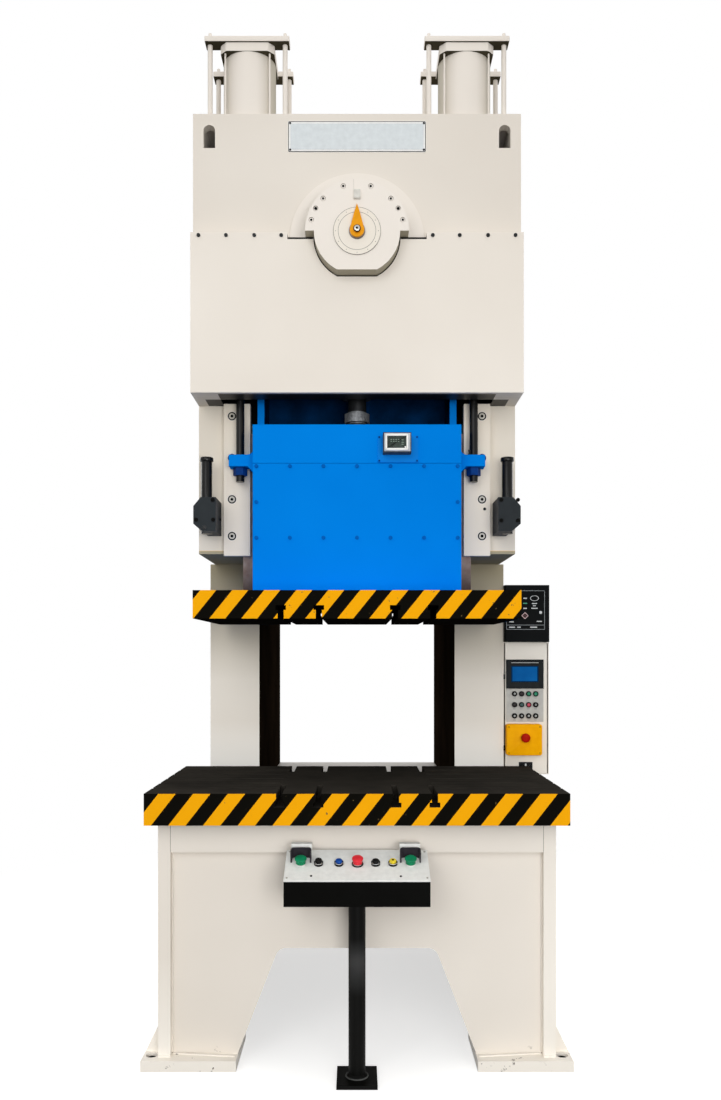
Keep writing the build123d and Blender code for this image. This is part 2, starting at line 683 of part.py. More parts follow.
def make_right_piston():
    piston = bar_z(CYLINDER_X, CYLINDER_Y, 3758, 3790, BORE_R - RUNNING)
    return piston + bar_z(CYLINDER_X, CYLINDER_Y, YOKE_Z[1], 3758, PISTON_ROD_R)


def make_pull_nut(x):
    nut = Pos(x, PULL_Y, 2183) * extrude(RegularPolygon(27, 6), 31)
    return nut - bar_z(x, PULL_Y, 2180, 2220, PULL_R + 0.2)


# Balance cylinders

def make_right_balance_cylinder():
    tube = bar_z(CYLINDER_X, CYLINDER_Y, HEAD_TOP, CYLINDER_TOP, CYLINDER_R)
    outline = chamfer(Rectangle(2 * CAP_HALF, 2 * CAP_HALF).vertices(), 24)
    cap = Pos(CYLINDER_X, CYLINDER_Y, CYLINDER_TOP) * extrude(outline, CAP_TOP - CYLINDER_TOP)
    for dx in (-TIE_SPACING, TIE_SPACING):
        for dy in (-TIE_SPACING, TIE_SPACING):
            cap -= bar_z(CYLINDER_X + dx, CYLINDER_Y + dy, CYLINDER_TOP - 1, CAP_TOP + 1, TIE_R + 0.2)
    return tube + cap - bar_z(CYLINDER_X, CYLINDER_Y, HEAD_TOP - 1, CYLINDER_TOP, BORE_R)


def make_tie_rods():
    """The thin rods that hold each cylinder's cap down on the head."""
    return [
        bar_z(side * (CYLINDER_X + dx), CYLINDER_Y + dy, HEAD_TOP, CAP_TOP, TIE_R)
        for side in (-1, 1)
        for dx in (-TIE_SPACING, TIE_SPACING)
        for dy in (-TIE_SPACING, TIE_SPACING)
    ]


def stud_places():
    return [
        (side * (CYLINDER_X + dx), CYLINDER_Y + dy)
        for side in (-1, 1)
        for dx in (-STUD_SPACING, STUD_SPACING)
        for dy in (-STUD_SPACING, STUD_SPACING)
    ]


def make_top_plates():
    x0 = CYLINDER_X - TOP_PLATE_HALF
    x1 = CYLINDER_X + TOP_PLATE_HALF
    y0 = CYLINDER_Y - TOP_PLATE_HALF
    y1 = CYLINDER_Y + TOP_PLATE_HALF
    plate = both(block(x0, x1, y0, y1, CAP_TOP, CAP_TOP + TOP_PLATE_T))
    for x, y in stud_places():
        plate -= bar_z(x, y, CAP_TOP - 1, CAP_TOP + TOP_PLATE_T + 1, STUD_R - 3.7)
    return plate


def make_stud(x, y):
    top = CAP_TOP + TOP_PLATE_T
    stud = bar_z(x, y, HEAD_TOP, CAP_TOP, STUD_R)
    stud += bar_z(x, y, CAP_TOP, top + 28, STUD_R - 4)
    nut = Pos(x, y, top) * extrude(RegularPolygon(17, 6), 18)
    return stud + nut


# Control cabinet

def make_cabinet_body():
    outer = block(*CABINET_X, *CABINET_Y, *CABINET_Z)
    wall = 4
    inner = block(
        CABINET_X[0] + wall,
        CABINET_X[1] - wall,
        CABINET_Y[0] - 1,
        CABINET_Y[1] - wall,
        CABINET_Z[0] + wall,
        CABINET_Z[1] - wall,
    )
    return outer - inner


def make_operator_screen():
    case = block(658, 822, DOOR_FRONT - 12, DOOR_FRONT, 1340, 1468)
    case = chamfer(case.edges().group_by(Axis.Y)[0], 3)
    return case - block(678, 800, DOOR_FRONT - 13, DOOR_FRONT - 8, 1368, 1441)


def make_keypad():
    pad = block(658, 822, DOOR_FRONT - 4, DOOR_FRONT, 1193, 1338)
    for x in (694, 725, 756, 787):
        for z in (1220, 1269, 1317):
            pad += bar_y(x, z, DOOR_FRONT - 11, DOOR_FRONT - 4, 10)
    return pad


def make_stop_box():
    box = block(656, 818, DOOR_FRONT - 45, DOOR_FRONT, 1049, 1185)
    box = chamfer(box.edges().group_by(Axis.Y)[0], 5)
    box -= bar_y(STOP_X, STOP_Z, DOOR_FRONT - 46, DOOR_FRONT - 15, STEM_R + 0.3)
    return box


def make_mushroom_y():
    face = DOOR_FRONT - 45
    cap = bar_y(STOP_X, STOP_Z, face - 26, face - 8, 20)
    cap = chamfer(cap.edges().group_by(Axis.Y)[0], 6)
    return cap + bar_y(STOP_X, STOP_Z, face - 8, face + 16, STEM_R)


# Console

def console_outline(front, back, low, edge, rear_top):
    return polygon((front, low), (back, low), (back, rear_top), (front, edge))


def panel_place(x, along):
    """A place on the sloped panel: across, and up from its front edge."""
    rise = math.atan2(CONSOLE_REAR_TOP - CONSOLE_EDGE, CONSOLE_BACK - CONSOLE_FRONT)
    y = CONSOLE_FRONT + along * math.cos(rise)
    z = CONSOLE_EDGE + along * math.sin(rise)
    return Pos(x, y, z) * Rot(math.degrees(rise), 0, 0)


def make_console_box():
    outer = console_outline(CONSOLE_FRONT, CONSOLE_BACK, CONSOLE_LOW, CONSOLE_EDGE, CONSOLE_REAR_TOP)
    w = CONSOLE_WALL
    slope = (CONSOLE_REAR_TOP - CONSOLE_EDGE) / (CONSOLE_BACK - CONSOLE_FRONT)
    inner = polygon(
        (CONSOLE_FRONT + w, CONSOLE_LOW + w),
        (CONSOLE_BACK - w, CONSOLE_LOW + w),
        (CONSOLE_BACK - w, CONSOLE_REAR_TOP + 50 - w * slope),
        (CONSOLE_FRONT + w, CONSOLE_EDGE + 50 + w * slope),
    )
    box = slab_x(outer, -CONSOLE_X, CONSOLE_X)
    return box - slab_x(inner, -CONSOLE_X + w, CONSOLE_X - w)


def make_console_panel():
    length = math.hypot(CONSOLE_REAR_TOP - CONSOLE_EDGE, CONSOLE_BACK - CONSOLE_FRONT)
    plate = panel_place(0, length / 2) * Pos(0, 0, 1.5) * Box(2 * CONSOLE_X, length, 3)
    for x in CONTROL_X.values():
        plate += panel_place(x, CONTROL_ROW) * Pos(0, 0, 3 + COLLAR_H / 2) * Cylinder(COLLAR_R, COLLAR_H)
        plate -= panel_place(x, CONTROL_ROW) * Cylinder(STEM_R + 0.3, 40)
    for name in ("left_palm_button", "right_palm_button"):
        bracket = polygon((-400, 775.5), (CONSOLE_BACK, 790.5), (CONSOLE_BACK, 820), (-400, 820))
        plate += slab_x(bracket, CONTROL_X[name] - 36, CONTROL_X[name] + 36)
    return plate


def make_console_post():
    post = bar_z(0, POST_Y, 14, CONSOLE_LOW, POST_R)
    post += block(-71, 71, POST_Y - 80, POST_Y + 80, 0, 14)
    weld = Pos(0, POST_Y, 14) * Cone(POST_R + 10, POST_R, 10, align=(Align.CENTER, Align.CENTER, Align.MIN))
    return post + weld


def make_palm_guard(x):
    outer = fillet((Pos(0, 27) * Rectangle(73, 36)).vertices().group_by(Axis.Y)[-1], 12)
    inner = fillet((Pos(0, 22) * Rectangle(63, 36)).vertices().group_by(Axis.Y)[-1], 8)
    return panel_place(x, CONTROL_ROW) * Pos(0, 0, 3) * extrude(outer - inner, 40)


def make_push_button(x, cap_r, cap_h, travel):
    """A button whose cap stands clear of its collar by its travel."""
    low = 3 + COLLAR_H + travel + 1
    cap = Pos(0, 0, low + cap_h / 2) * Cylinder(cap_r, cap_h)
    cap = chamfer(cap.edges().group_by(Axis.Z)[-1], cap_h / 3)
    stem = Pos(0, 0, (low - 12) / 2) * Cylinder(STEM_R, low + 12)
    return panel_place(x, CONTROL_ROW) * (cap + stem)


def make_turn_switch(x, lever_r, lever_h):
    low = 3 + COLLAR_H + 1
    knob = Pos(0, 0, low + 4) * Cylinder(lever_r, 8)
    knob += Pos(0, 0, low + 8 + lever_h / 2) * Box(7, 2 * lever_r - 4, lever_h)
    stem = Pos(0, 0, (low - 12) / 2) * Cylinder(STEM_R, low + 12)
    return panel_place(x, CONTROL_ROW) * (knob + stem)


save("base_frame", make_base_frame())
right_upright = make_right_upright()
save("right_upright", right_upright)
save("left_upright", mirrored(right_upright))
save("head_frame", make_head_frame())
save("bolster_plate", make_bolster())
right_gib = make_right_gib()
save("right_gib_plate", right_gib)
save("left_gib_plate", mirrored(right_gib))
save("gib_bolts", *[make_gib_bolt(x, z) for x in (-GIB_BOLT_X, GIB_BOLT_X) for z in GIB_BOLT_Z])
clamp_block = make_right_clamp_block()
save("right_clamp_block", clamp_block)
save("left_clamp_block", mirrored(clamp_block))
clamp_post = make_right_clamp_post()
save("clamp_posts", clamp_post, mirrored(clamp_post))

save("head_front_cover", make_front_cover())
save("front_cover_screws", *[make_cover_screw(side * x) for side in (-1, 1) for x in COVER_SCREW_X])
save("dial_backing_plate", make_dial_backing())
save("bearing_cover", make_bearing_cover())
save("bearing_cover_bolts", *[make_cover_bolt(side * a) for side in (-1, 1) for a in COVER_BOLT_ANGLES])
save("dial_ring", make_dial_ring())
save("index_block", make_index_block())

save("crankshaft", make_crankshaft())
front_bush = make_bush(HEAD_FRONT + 0.5, HEAD_FRONT + HEAD_WALL, FRONT_JOURNAL_R)
middle_bush = make_bush(*MIDDLE_PLATE_Y, MAIN_JOURNAL_R)
rear_bush = make_bush(*REAR_PLATE_Y, FRONT_JOURNAL_R)
save("crank_bushes", front_bush, middle_bush, rear_bush)
save("main_gear", make_main_gear())
save("crank_pointer", make_pointer())
save("connecting_rod", make_connecting_rod())
save("adjusting_screw", make_adjusting_screw())

save("drive_shaft", make_drive_shaft())
save("flywheel", make_flywheel())
save("main_motor", make_main_motor())
save("motor_pulley", make_motor_pulley())
save("drive_belts", *[make_belt(y) for y in BELT_Y])
save("rear_guard", make_rear_guard())

save("slide_body", make_slide_body())
save("slide_upper_cover", make_slide_cover(SEAM_Z, SLIDE_TOP))
save("slide_lower_cover", make_slide_cover(FLANGE_TOP, SEAM_Z - 1.5))
bolt_rows = [(2203, n * 127) for n in range(-3, 4)] + [(1932, n * 127) for n in range(-3, 4)]
bolt_rows += [(2067, -381), (2067, 381)]
save("slide_cover_bolts", *[make_slide_bolt(x, z) for z, x in bolt_rows])
save("slide_display", make_slide_display())
pull_rod = make_right_pull_rod()
save("pull_rods", pull_rod, mirrored(pull_rod))
save("pull_rod_nuts", make_pull_nut(PULL_X), make_pull_nut(-PULL_X))
piston = make_right_piston()
save("balance_pistons", piston, mirrored(piston))

cylinder = make_right_balance_cylinder()
save("right_balance_cylinder", cylinder)
save("left_balance_cylinder", mirrored(cylinder))
save("cylinder_top_plates", make_top_plates())
save("cylinder_studs", *[make_stud(x, y) for x, y in stud_places()], *make_tie_rods())

save("cabinet_body", make_cabinet_body())
save("cabinet_door", block(654, 838, DOOR_FRONT, CABINET_Y[0], CABINET_Z[0] + 4, CABINET_Z[1] - 4))
save("operator_screen", make_operator_screen())
save("keypad", make_keypad())
save("stop_box", make_stop_box())
save("cabinet_stop_button", make_mushroom_y())
controller = block(*CONTROLLER_X, *CONTROLLER_Y, *CONTROLLER_Z)
save("controller_box", fillet(controller.edges().filter_by(Axis.Z), 6))

save("console_box", make_console_box())
save("console_panel", make_console_panel())
save("console_post", make_console_post())
palm_x = (CONTROL_X["left_palm_button"], CONTROL_X["right_palm_button"])
save("palm_guards", *[make_palm_guard(x) for x in palm_x])
for name in ("left_palm_button", "right_palm_button"):
    save(name, make_push_button(CONTROL_X[name], 22, 15, 6))
save("red_stop_button", make_push_button(CONTROL_X["red_stop_button"], 20, 16, 6))
for name in ("blue_button", "black_button"):
    save(name, make_push_button(CONTROL_X[name], 12, 8, 4))
save("mode_selector", make_turn_switch(CONTROL_X["mode_selector"], 13, 13))
save("key_switch", make_turn_switch(CONTROL_X["key_switch"], 11, 16))
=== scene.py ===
import json
import math

import bmesh
import bpy
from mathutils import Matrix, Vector

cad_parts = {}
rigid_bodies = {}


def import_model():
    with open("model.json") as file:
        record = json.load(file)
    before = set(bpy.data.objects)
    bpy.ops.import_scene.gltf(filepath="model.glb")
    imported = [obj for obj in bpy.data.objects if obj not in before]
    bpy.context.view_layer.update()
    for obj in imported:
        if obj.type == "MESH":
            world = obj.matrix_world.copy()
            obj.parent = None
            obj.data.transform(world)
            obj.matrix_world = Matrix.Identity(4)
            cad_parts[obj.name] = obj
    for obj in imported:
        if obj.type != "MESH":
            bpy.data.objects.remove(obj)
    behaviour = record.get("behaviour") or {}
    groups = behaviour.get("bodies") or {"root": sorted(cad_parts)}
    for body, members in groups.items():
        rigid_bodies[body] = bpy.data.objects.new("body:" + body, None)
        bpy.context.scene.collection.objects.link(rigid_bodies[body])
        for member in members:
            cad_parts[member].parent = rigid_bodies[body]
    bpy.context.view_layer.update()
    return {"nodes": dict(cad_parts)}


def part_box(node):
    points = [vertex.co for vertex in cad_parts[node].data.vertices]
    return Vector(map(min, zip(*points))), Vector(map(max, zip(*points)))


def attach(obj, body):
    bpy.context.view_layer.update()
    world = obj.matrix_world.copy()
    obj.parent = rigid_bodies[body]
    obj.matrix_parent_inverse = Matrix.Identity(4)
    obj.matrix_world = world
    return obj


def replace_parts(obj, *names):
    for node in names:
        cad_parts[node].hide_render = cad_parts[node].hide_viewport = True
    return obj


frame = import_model()
nodes = frame["nodes"]

# Lengths are in metres. The camera stands level in front of the ram, as in a photograph 1100 pixels high.
CAMERA_PLACE = (0, -3.780, 1.488)
SENSOR_WIDTH = 36
FOCAL_PIXELS = 956
PICTURE_PIXELS = 1100
HORIZON_PIXEL = 655
CENTRE_PIXEL = 357
PICTURE_MIDDLE = 360.5

ORIGIN = (0, 0, 0)
UP = (0, 0, 1)
FRONT = (0, -1, 0)

CRANK_Z = 3.052
HEAD_FRONT = -0.137
COVER_FRONT = -0.197
BEARING_FRONT = -0.253
HEAD_TOP = 3.550
HEAD_FOOT = 2.4725
JAW_FOOT = 1.8985
BOLT_RING = 0.174
BOSS_FLAT = 2.9066
MOTOR_Z = 3.375
GUARD_MIDDLE_Y = 1.592

CYLINDER_X = 0.420
CYLINDER_Y = -0.027
CYLINDER_TUBE = 0.244
BAR_FOOT = 3.828
BAR_TOP = BAR_FOOT + 0.021
BAR_SPANS = ((-0.137, -0.078, -0.107), (0.086, 0.146, 0.116))

KEY_COLUMNS = (0.694, 0.725, 0.756, 0.787)
KEY_ROWS = (1.317, 1.269, 1.220)
STOP_X = 0.734
STOP_Z = 1.127
PANEL_EDGE = (0, -0.530, 0.720)
PANEL_RISE = math.atan2(69, 166)
PANEL_SKIN = 0.003
CONTROL_ROW = 0.092

WHITE = (1, 1, 1, 1)
FLOOR_MIDDLE_Y = 0.6
FLOOR_FADE = (1.5, 3.2)
FLOOR_GLOW = 0.6
FLOOR_GREY = "7C7B79"
SKY_STRENGTH = 0.6
LAMP_AIM = (0, 0, 1.9)
LAMPS = (
    ("key_lamp", (-2.6, -7.0, 4.4), 4.0, 132),
    ("fill_lamp", (1.4, -7.2, 1.2), 3.5, 268),
    ("top_lamp", (0, 0.5, 7.5), 5.0, 60),
    ("left_rear_lamp", (-6.5, 5.5, 3.6), 4.0, 110),
    ("right_rear_lamp", (6.5, 5.5, 3.6), 4.0, 110),
)


# Materials


def linear(hex_code):
    """An sRGB hex colour as linear red, green, blue and alpha."""
    parts = [int(hex_code[i : i + 2], 16) / 255 for i in (0, 2, 4)]
    return tuple(c / 12.92 if c <= 0.04045 else ((c + 0.055) / 1.055) ** 2.4 for c in parts) + (1.0,)


def add_node(tree, kind, sockets=None, links=None, **settings):
    """Adds a node with its settings, its socket values and the links into it."""
    node = tree.nodes.new("ShaderNode" + kind)
    for name, value in settings.items():
        setattr(node, name, value)
    for socket, value in (sockets or {}).items():
        node.inputs[socket].default_value = value
    for socket, source in (links or {}).items():
        tree.links.new(source, node.inputs[socket])
    return node


def feed(tree, socket, value):
    """Links a socket to a node's output, or sets it to a number or a hex colour."""
    if isinstance(value, bpy.types.NodeSocket):
        tree.links.new(value, socket)
    else:
        socket.default_value = linear(value) if isinstance(value, str) else value


def reckon(tree, operation, *values):
    """A value worked out from others by one step of arithmetic."""
    node = add_node(tree, "Math", operation=operation)
    for socket, value in zip(node.inputs, values):
        feed(tree, socket, value)
    return node.outputs[0]


class Painter:
    """Works out a material's colour from the place on the piece. A mask is 1 where it holds."""

    def __init__(self, tree, shader=None):
        self.tree = tree
        self.shader = shader
        self.place = add_node(tree, "TexCoord").outputs["Object"]

    def split(self):
        """The three coordinates of the place."""
        return add_node(self.tree, "SeparateXYZ", links={"Vector": self.place}).outputs

    def noise(self, size, detail, place=None, **sockets):
        """A cloudy pattern, size in metres from cloud to cloud."""
        values = {"Scale": 1 / size, "Detail": detail, **sockets}
        links = {"Vector": self.place if place is None else place}
        return add_node(self.tree, "TexNoise", values, links).outputs["Fac"]

    def mottle(self, size, dark, light, detail=3.0):
        """A soft cloudy change between two colours."""
        ramp = add_node(self.tree, "ValToRGB", links={"Fac": self.noise(size, detail)})
        for stop, position, colour in zip(ramp.color_ramp.elements, (0.3, 0.7), (dark, light)):
            stop.position = position
            stop.color = linear(colour)
        return ramp.outputs["Color"]

    def minus(self, one, two):
        return reckon(self.tree, "SUBTRACT", one, two)

    def size(self, value):
        """A value without its sign."""
        return reckon(self.tree, "ABSOLUTE", value)

    def above(self, value, level):
        return reckon(self.tree, "GREATER_THAN", value, level)

    def below(self, value, level):
        return reckon(self.tree, "LESS_THAN", value, level)

    def between(self, value, low, high):
        return self.times(self.above(value, low), self.below(value, high))

    def rise(self, value, low, high):
        """A mask that rises from 0 to 1 as the value goes from low to high."""
        limits = {"From Min": low, "From Max": high}
        return add_node(self.tree, "MapRange", limits, {"Value": value}, clamp=True).outputs["Result"]

    def times(self, first, *others):
        """Values multiplied; for masks, where all of them hold."""
        for other in others:
            first = reckon(self.tree, "MULTIPLY", first, other)
        return first

    def most(self, first, *others):
        """The largest value; for masks, where any of them holds."""
        for other in others:
            first = reckon(self.tree, "MAXIMUM", first, other)
        return first

    def over(self, mask, under, over):
        """One colour laid over another by a mask."""
        node = add_node(self.tree, "Mix", data_type="RGBA")
        for socket, value in ((0, mask), (6, under), (7, over)):
            feed(self.tree, node.inputs[socket], value)
        return node.outputs[2]

    def bump(self, height, distance):
        """Raises the surface by a pattern, distance in metres."""
        raised = add_node(self.tree, "Bump", {"Strength": 1.0, "Distance": distance}, {"Height": height})
        self.tree.links.new(raised.outputs["Normal"], self.shader.inputs["Normal"])


def finish(name, base, gloss, roughness, paint, skin=None, **sockets):
    """A material coloured by a paint. Gloss 0.5 is a full shine. A skin is a fine grain: size, detail, height."""
    material = bpy.data.materials.new(name)
    material.use_nodes = True
    tree = material.node_tree
    tree.nodes.clear()
    values = {"Base Color": linear(base), "Specular IOR Level": gloss, "Roughness": roughness, **sockets}
    shader = add_node(tree, "BsdfPrincipled", values)
    add_node(tree, "OutputMaterial", links={"Surface": shader.outputs["BSDF"]})
    painter = Painter(tree, shader)
    tree.links.new(paint(painter), shader.inputs["Base Color"])
    if skin:
        size, detail, height = skin
        painter.bump(painter.noise(size, detail), height)
    return material


def cloudy(size, dark, light, detail=3.0):
    return lambda p: p.mottle(size, dark, light, detail)


def enamel(name, base, paint, gloss=0.2, roughness=0.42):
    """Sprayed machine enamel. Its 3 mm dimples are drawn 8 mm wide so that they show."""
    return finish(name, base, gloss, roughness, paint, (0.008, 2.0, 0.00012), IOR=1.5)


def plate_enamel(name, dark, light):
    """Enamel a little uneven in tone."""
    return enamel(name, light, cloudy(0.9, dark, light))


def turned_steel(name, dark, light, roughness=0.3):
    """Turned or ground metal under a thin film of oil."""
    skin = (0.004, 2.0, 0.00004)
    return finish(name, light, 0.5, roughness, cloudy(0.03, dark, light, 5.0), skin, Metallic=1.0)


def coat(name, dark, light, roughness=0.5, gloss=0.03):
    """Satin powder coat with a fine texture."""
    skin = (0.003, 2.0, 0.00008)
    return finish(name, light, gloss, roughness, cloudy(0.12, dark, light), skin, IOR=1.5)


def moulded(name, dark, light, roughness=0.3, gloss=0.15):
    """Moulded plastic or lacquer: even and smooth."""
    skin = (0.0012, 1.0, 0.00002)
    return finish(name, light, gloss, roughness, cloudy(0.02, dark, light), skin, IOR=1.46)


CREAM_TONES = ("E1D9CF", "EBE4DB")
BLUE_TONES = ("017AD9", "0382E1")


def worn_cream_with_painted_light(p):
    """Painted light: foot plates and lower posts near-white at the front. Dust lies low down; the plates' edges
    are chipped.
    """
    x, y, z = p.split()
    # Painted light on the front of the foot plates and lower posts, reaching higher on the right than on the
    # left.
    right = p.times(p.above(x, 0.672), p.rise(z, 0.9, 0.2))
    left = p.times(p.below(x, -0.672), p.rise(z, 0.40, 0.10))
    painted_light = p.times(p.most(right, left, p.below(z, 0.0405)), p.rise(y, 0.2, -0.2))
    colour = p.over(painted_light, p.mottle(0.9, "E5DDD2", "EEE7DD"), "FAF4EA")
    colour = p.over(p.times(p.rise(z, 0.30, 0.0), 0.12), colour, "C9C0B2")
    chips = p.rise(p.noise(0.045, 6.0, Roughness=0.7), 0.63, 0.66)
    return p.over(p.times(chips, p.rise(z, 0.075, 0.02)), colour, "4A3D34")


def shade_painted_inside(tones, half_width, depth, height, under_from):
    """Cream; the inside and the mouth below are painted near-black as painted shade."""

    def paint(p):
        x, y, z = p.split()
        across = p.size(x)
        inside = p.times(p.below(across, half_width), p.between(y, *depth), p.between(z, *height))
        under = p.times(p.below(across, 0.525), p.below(z, HEAD_FOOT), p.above(y, under_from))
        # Painted shade: near-black inside the head and the cover, and on the mouth under them.
        return p.over(p.most(inside, under), p.mottle(0.9, *tones), p.mottle(0.25, "141312", "211E1B", 5.0))

    return paint


def column_paint(p):
    """Cream with painted shade under the jaws, painted light low down. Inner faces: brown oxide primer and
    painted shade.
    """
    x, y, z = p.split()
    # Painted light and shade: lighter below 1.3 m, darker above 1.9 m.
    cream = p.over(p.rise(z, 1.3, 1.9), p.mottle(0.9, "EFE8DD", "F6F0E6"), p.mottle(0.9, "DCD4C6", "E4DCCF"))
    front = p.rise(y, 0.80, 0.44)
    # Painted shade: brown on the front under the jaws, from 1.38 m up to the jaw's foot.
    painted_shade = p.times(p.rise(z, 1.38, 1.86), p.below(z, JAW_FOOT), front)
    cream = p.over(painted_shade, cream, p.mottle(0.9, "A3997F", "AFA58C"))
    # Painted light: a light warm line along the jaw's foot, where its underside faces down into shade.
    cream = p.over(p.between(z, JAW_FOOT, JAW_FOOT + 0.002), cream, "F0CE9A")
    # Painted light: near-white on the front below 1.2 m.
    cream = p.over(p.times(p.rise(z, 1.2, 1.0), front), cream, "FFFCF5")
    # The inner faces are brown oxide primer, painted near-black as painted shade in the throat.
    inside = p.times(p.below(p.size(x), 0.4305), p.above(y, 0.4305))
    return p.over(inside, cream, p.mottle(0.25, "19130D", "281F17", 5.0))


def cylinder_paint(p):
    """Cream, darker towards the sides and backs: painted shade round the tube."""
    return p.over(p.rise(p.split()["Y"], -0.122, -0.04), p.mottle(0.9, *CREAM_TONES), "AEA793")


def bearing_paint(p):
    """Cream; the narrow faces round the edge are painted darker as painted shade."""
    # Painted shade on the side faces of the bearing cover.
    edge = p.above(p.split()["Y"], BEARING_FRONT + 0.0002)
    return p.over(edge, p.mottle(0.9, *CREAM_TONES), "A59D88")


def stripes(p, under, front, start_x, start_z, period, lean):
    """Warning stripes painted on all that lies before the plane y = front."""
    x, y, z = p.split()
    along = p.minus(x, p.times(p.minus(z, start_z), lean))
    turns = p.times(p.minus(along, start_x), 1 / period)
    black = p.below(reckon(p.tree, "FLOORED_MODULO", turns, 1.0), 0.5)
    paint = p.over(black, "F2A80E", "100F0C")
    paint = p.over(p.rise(p.noise(0.02, 5.0), 0.69, 0.72), paint, "6B5A3A")
    return p.over(p.below(y, front), under, paint)


def ram_paint(p):
    """Blue. The flange is striped in front and bare steel below and in its slots, painted near-black there as
    shade;
    the ways are greasy steel, and the crank's pocket is painted dark navy as painted shade."""
    x, y, z = p.split()
    across = p.size(x)
    # Bare steel under the flange and in its slots, painted near-black as painted shade.
    slots = p.times(p.between(z, 1.0, 1.700), p.between(y, -0.3495, 0.3495), p.below(across, 0.5895))
    colour = p.over(slots, p.mottle(0.5, *BLUE_TONES), p.mottle(0.05, "141311", "1E1C1A", 6.0))
    grease = p.over(p.rise(z, 1.722, 1.87), "4A3B33", p.mottle(0.03, "8D7468", "A8988C", 6.0))
    ways = p.times(p.between(across, 0.3952, 0.4505), p.between(y, -0.0005, 0.3205), p.above(z, 1.7215))
    colour = p.over(ways, colour, grease)
    # Painted shade: the crank's pocket is painted dark navy.
    pocket = p.times(p.below(across, 0.3645), p.between(y, -0.1085, 0.1995), p.above(z, 1.83))
    colour = p.over(pocket, colour, p.mottle(0.08, "03203F", "053361"))
    return stripes(p, colour, -0.3495, -0.5454, 1.671, 0.1148, 0.81)


def display_paint(p):
    """The base plate is blue like the ram; the case has a silver front and darker sides."""
    y = p.split()["Y"]
    silver = p.mottle(0.05, "AEB3B8", "C9CDD1")
    case = p.over(p.above(y, -0.2125), silver, p.mottle(0.03, "3A3D40", "4C5053"))
    return p.over(p.above(y, -0.1655), case, p.mottle(0.5, *BLUE_TONES))


def bolster_paint(p):
    """Planed, oily tool steel. Its cutter lines, 0.3 mm apart, are drawn 4 mm apart so that they show."""
    stretched = add_node(p.tree, "Mapping", {"Scale": (6, 250, 250)}, {"Vector": p.place})
    lines = p.noise(1.0, 3.0, stretched.outputs["Vector"])
    p.bump(lines, 0.0002)
    colour = p.over(p.times(lines, 0.2), p.mottle(0.18, "2B2926", "393631", 6.0), "453F38")
    return stripes(p, colour, -0.4195, -0.6818, 0.9432, 0.1221, 0.783)


def post_paint(p):
    """Satin black, with a grey band a little way up painted as a highlight."""
    z = p.split()["Z"]
    # Painted highlight: a grey band between 0.30 m and 0.50 m.
    painted_highlight = p.times(p.rise(z, 0.30, 0.41), p.rise(z, 0.50, 0.43))
    return p.over(painted_highlight, p.mottle(0.12, "060605", "0C0C0B"), p.mottle(0.12, "303030", "3A3A3A"))


def dial_paint(p):
    """Printed with two rings and a small mark every 30 degrees."""
    x, y, z = p.split()
    up = p.minus(z, CRANK_Z)
    square = reckon(p.tree, "ADD", p.times(x, x), p.times(up, up))
    radius = reckon(p.tree, "POWER", square, 0.5)
    angle = reckon(p.tree, "ADD", reckon(p.tree, "ARCTAN2", x, up), math.pi)
    gap = p.size(p.minus(reckon(p.tree, "FLOORED_MODULO", angle, math.pi / 6), math.pi / 12))
    tick = p.below(p.times(p.minus(math.pi / 12, gap), radius), 0.0012)
    printed = p.times(tick, p.between(radius, 0.0775, 0.0805))
    for ring in (0.0695, 0.0872):
        printed = p.most(printed, p.below(p.size(p.minus(radius, ring)), 0.0008))
    return p.over(printed, "E8E1D5", "857F77")


def screw_paint(p):
    """Dark oiled steel, with a lighter lock nut."""
    nut = p.between(p.split()["Z"], 2.398, 2.444)
    return p.over(nut, p.mottle(0.03, "1C1D1F", "2E3032"), p.mottle(0.01, "5E6063", "8A8C8E"))


def screen_paint(p):
    """A lit blue picture with a darker border."""
    x, y, z = p.split()
    aside = p.above(p.size(p.minus(x, 0.739)), 0.0545)
    beyond = p.above(p.size(p.minus(z, 1.4045)), 0.031)
    colour = p.over(p.most(aside, beyond), p.mottle(0.08, "0D5496", "1464A8"), "0B2F52")
    p.tree.links.new(colour, p.shader.inputs["Emission Color"])
    return colour


CREAM = plate_enamel("cream_enamel", *CREAM_TONES)
CREAM_WORN_PAINTED_LIGHT = enamel("cream_enamel_worn_painted_light", "EEE7DD", worn_cream_with_painted_light)
GIB_CREAM = plate_enamel("gib_enamel", "DDD4C4", "E8DECF")
CABINET_CREAM = plate_enamel("cabinet_enamel", "EFE8DC", "F6F0E6")
COLUMN_CREAM = enamel("column_enamel", "EAE3D9", column_paint, 0.0, 0.6)
BLUE = enamel("blue_enamel", "017DDD", cloudy(0.5, *BLUE_TONES), 0.0, 0.45)
BLACK = coat("black_powder_coat", "0B0B0A", "121211")
BLACK_ABS = moulded("black_abs", "101010", "191919", 0.45, 0.08)
STEEL = turned_steel("turned_steel", "6E6B68", "9A9793")
BOLT_GREY = plate_enamel("bolt_grey_enamel", "B4AFA4", "C8C3B8")
DARK_STEEL = coat("oiled_dark_steel", "141516", "26282A", 0.4, 0.2)
BLUED = coat("blued_rod_steel", "080808", "101010", 0.25, 0.2)
ZINC = turned_steel("zinc_plate", "A9A8A2", "C8C7C2", 0.35)
RUBBER = coat("moulded_rubber", "0E0E0E", "191919", 0.7)
CHARCOAL = coat("charcoal_enamel", "23272A", "2D3235", 0.45, 0.06)
GREEN_ABS = moulded("green_abs", "10744C", "168A5E", 0.3)
iron_tones = cloudy(0.02, "4E4E4C", "7A7977", 6.0)
IRON = finish("grey_cast_iron", "6A6A68", 0.5, 0.5, iron_tones, (0.003, 4.0, 0.00015), Metallic=0.8)

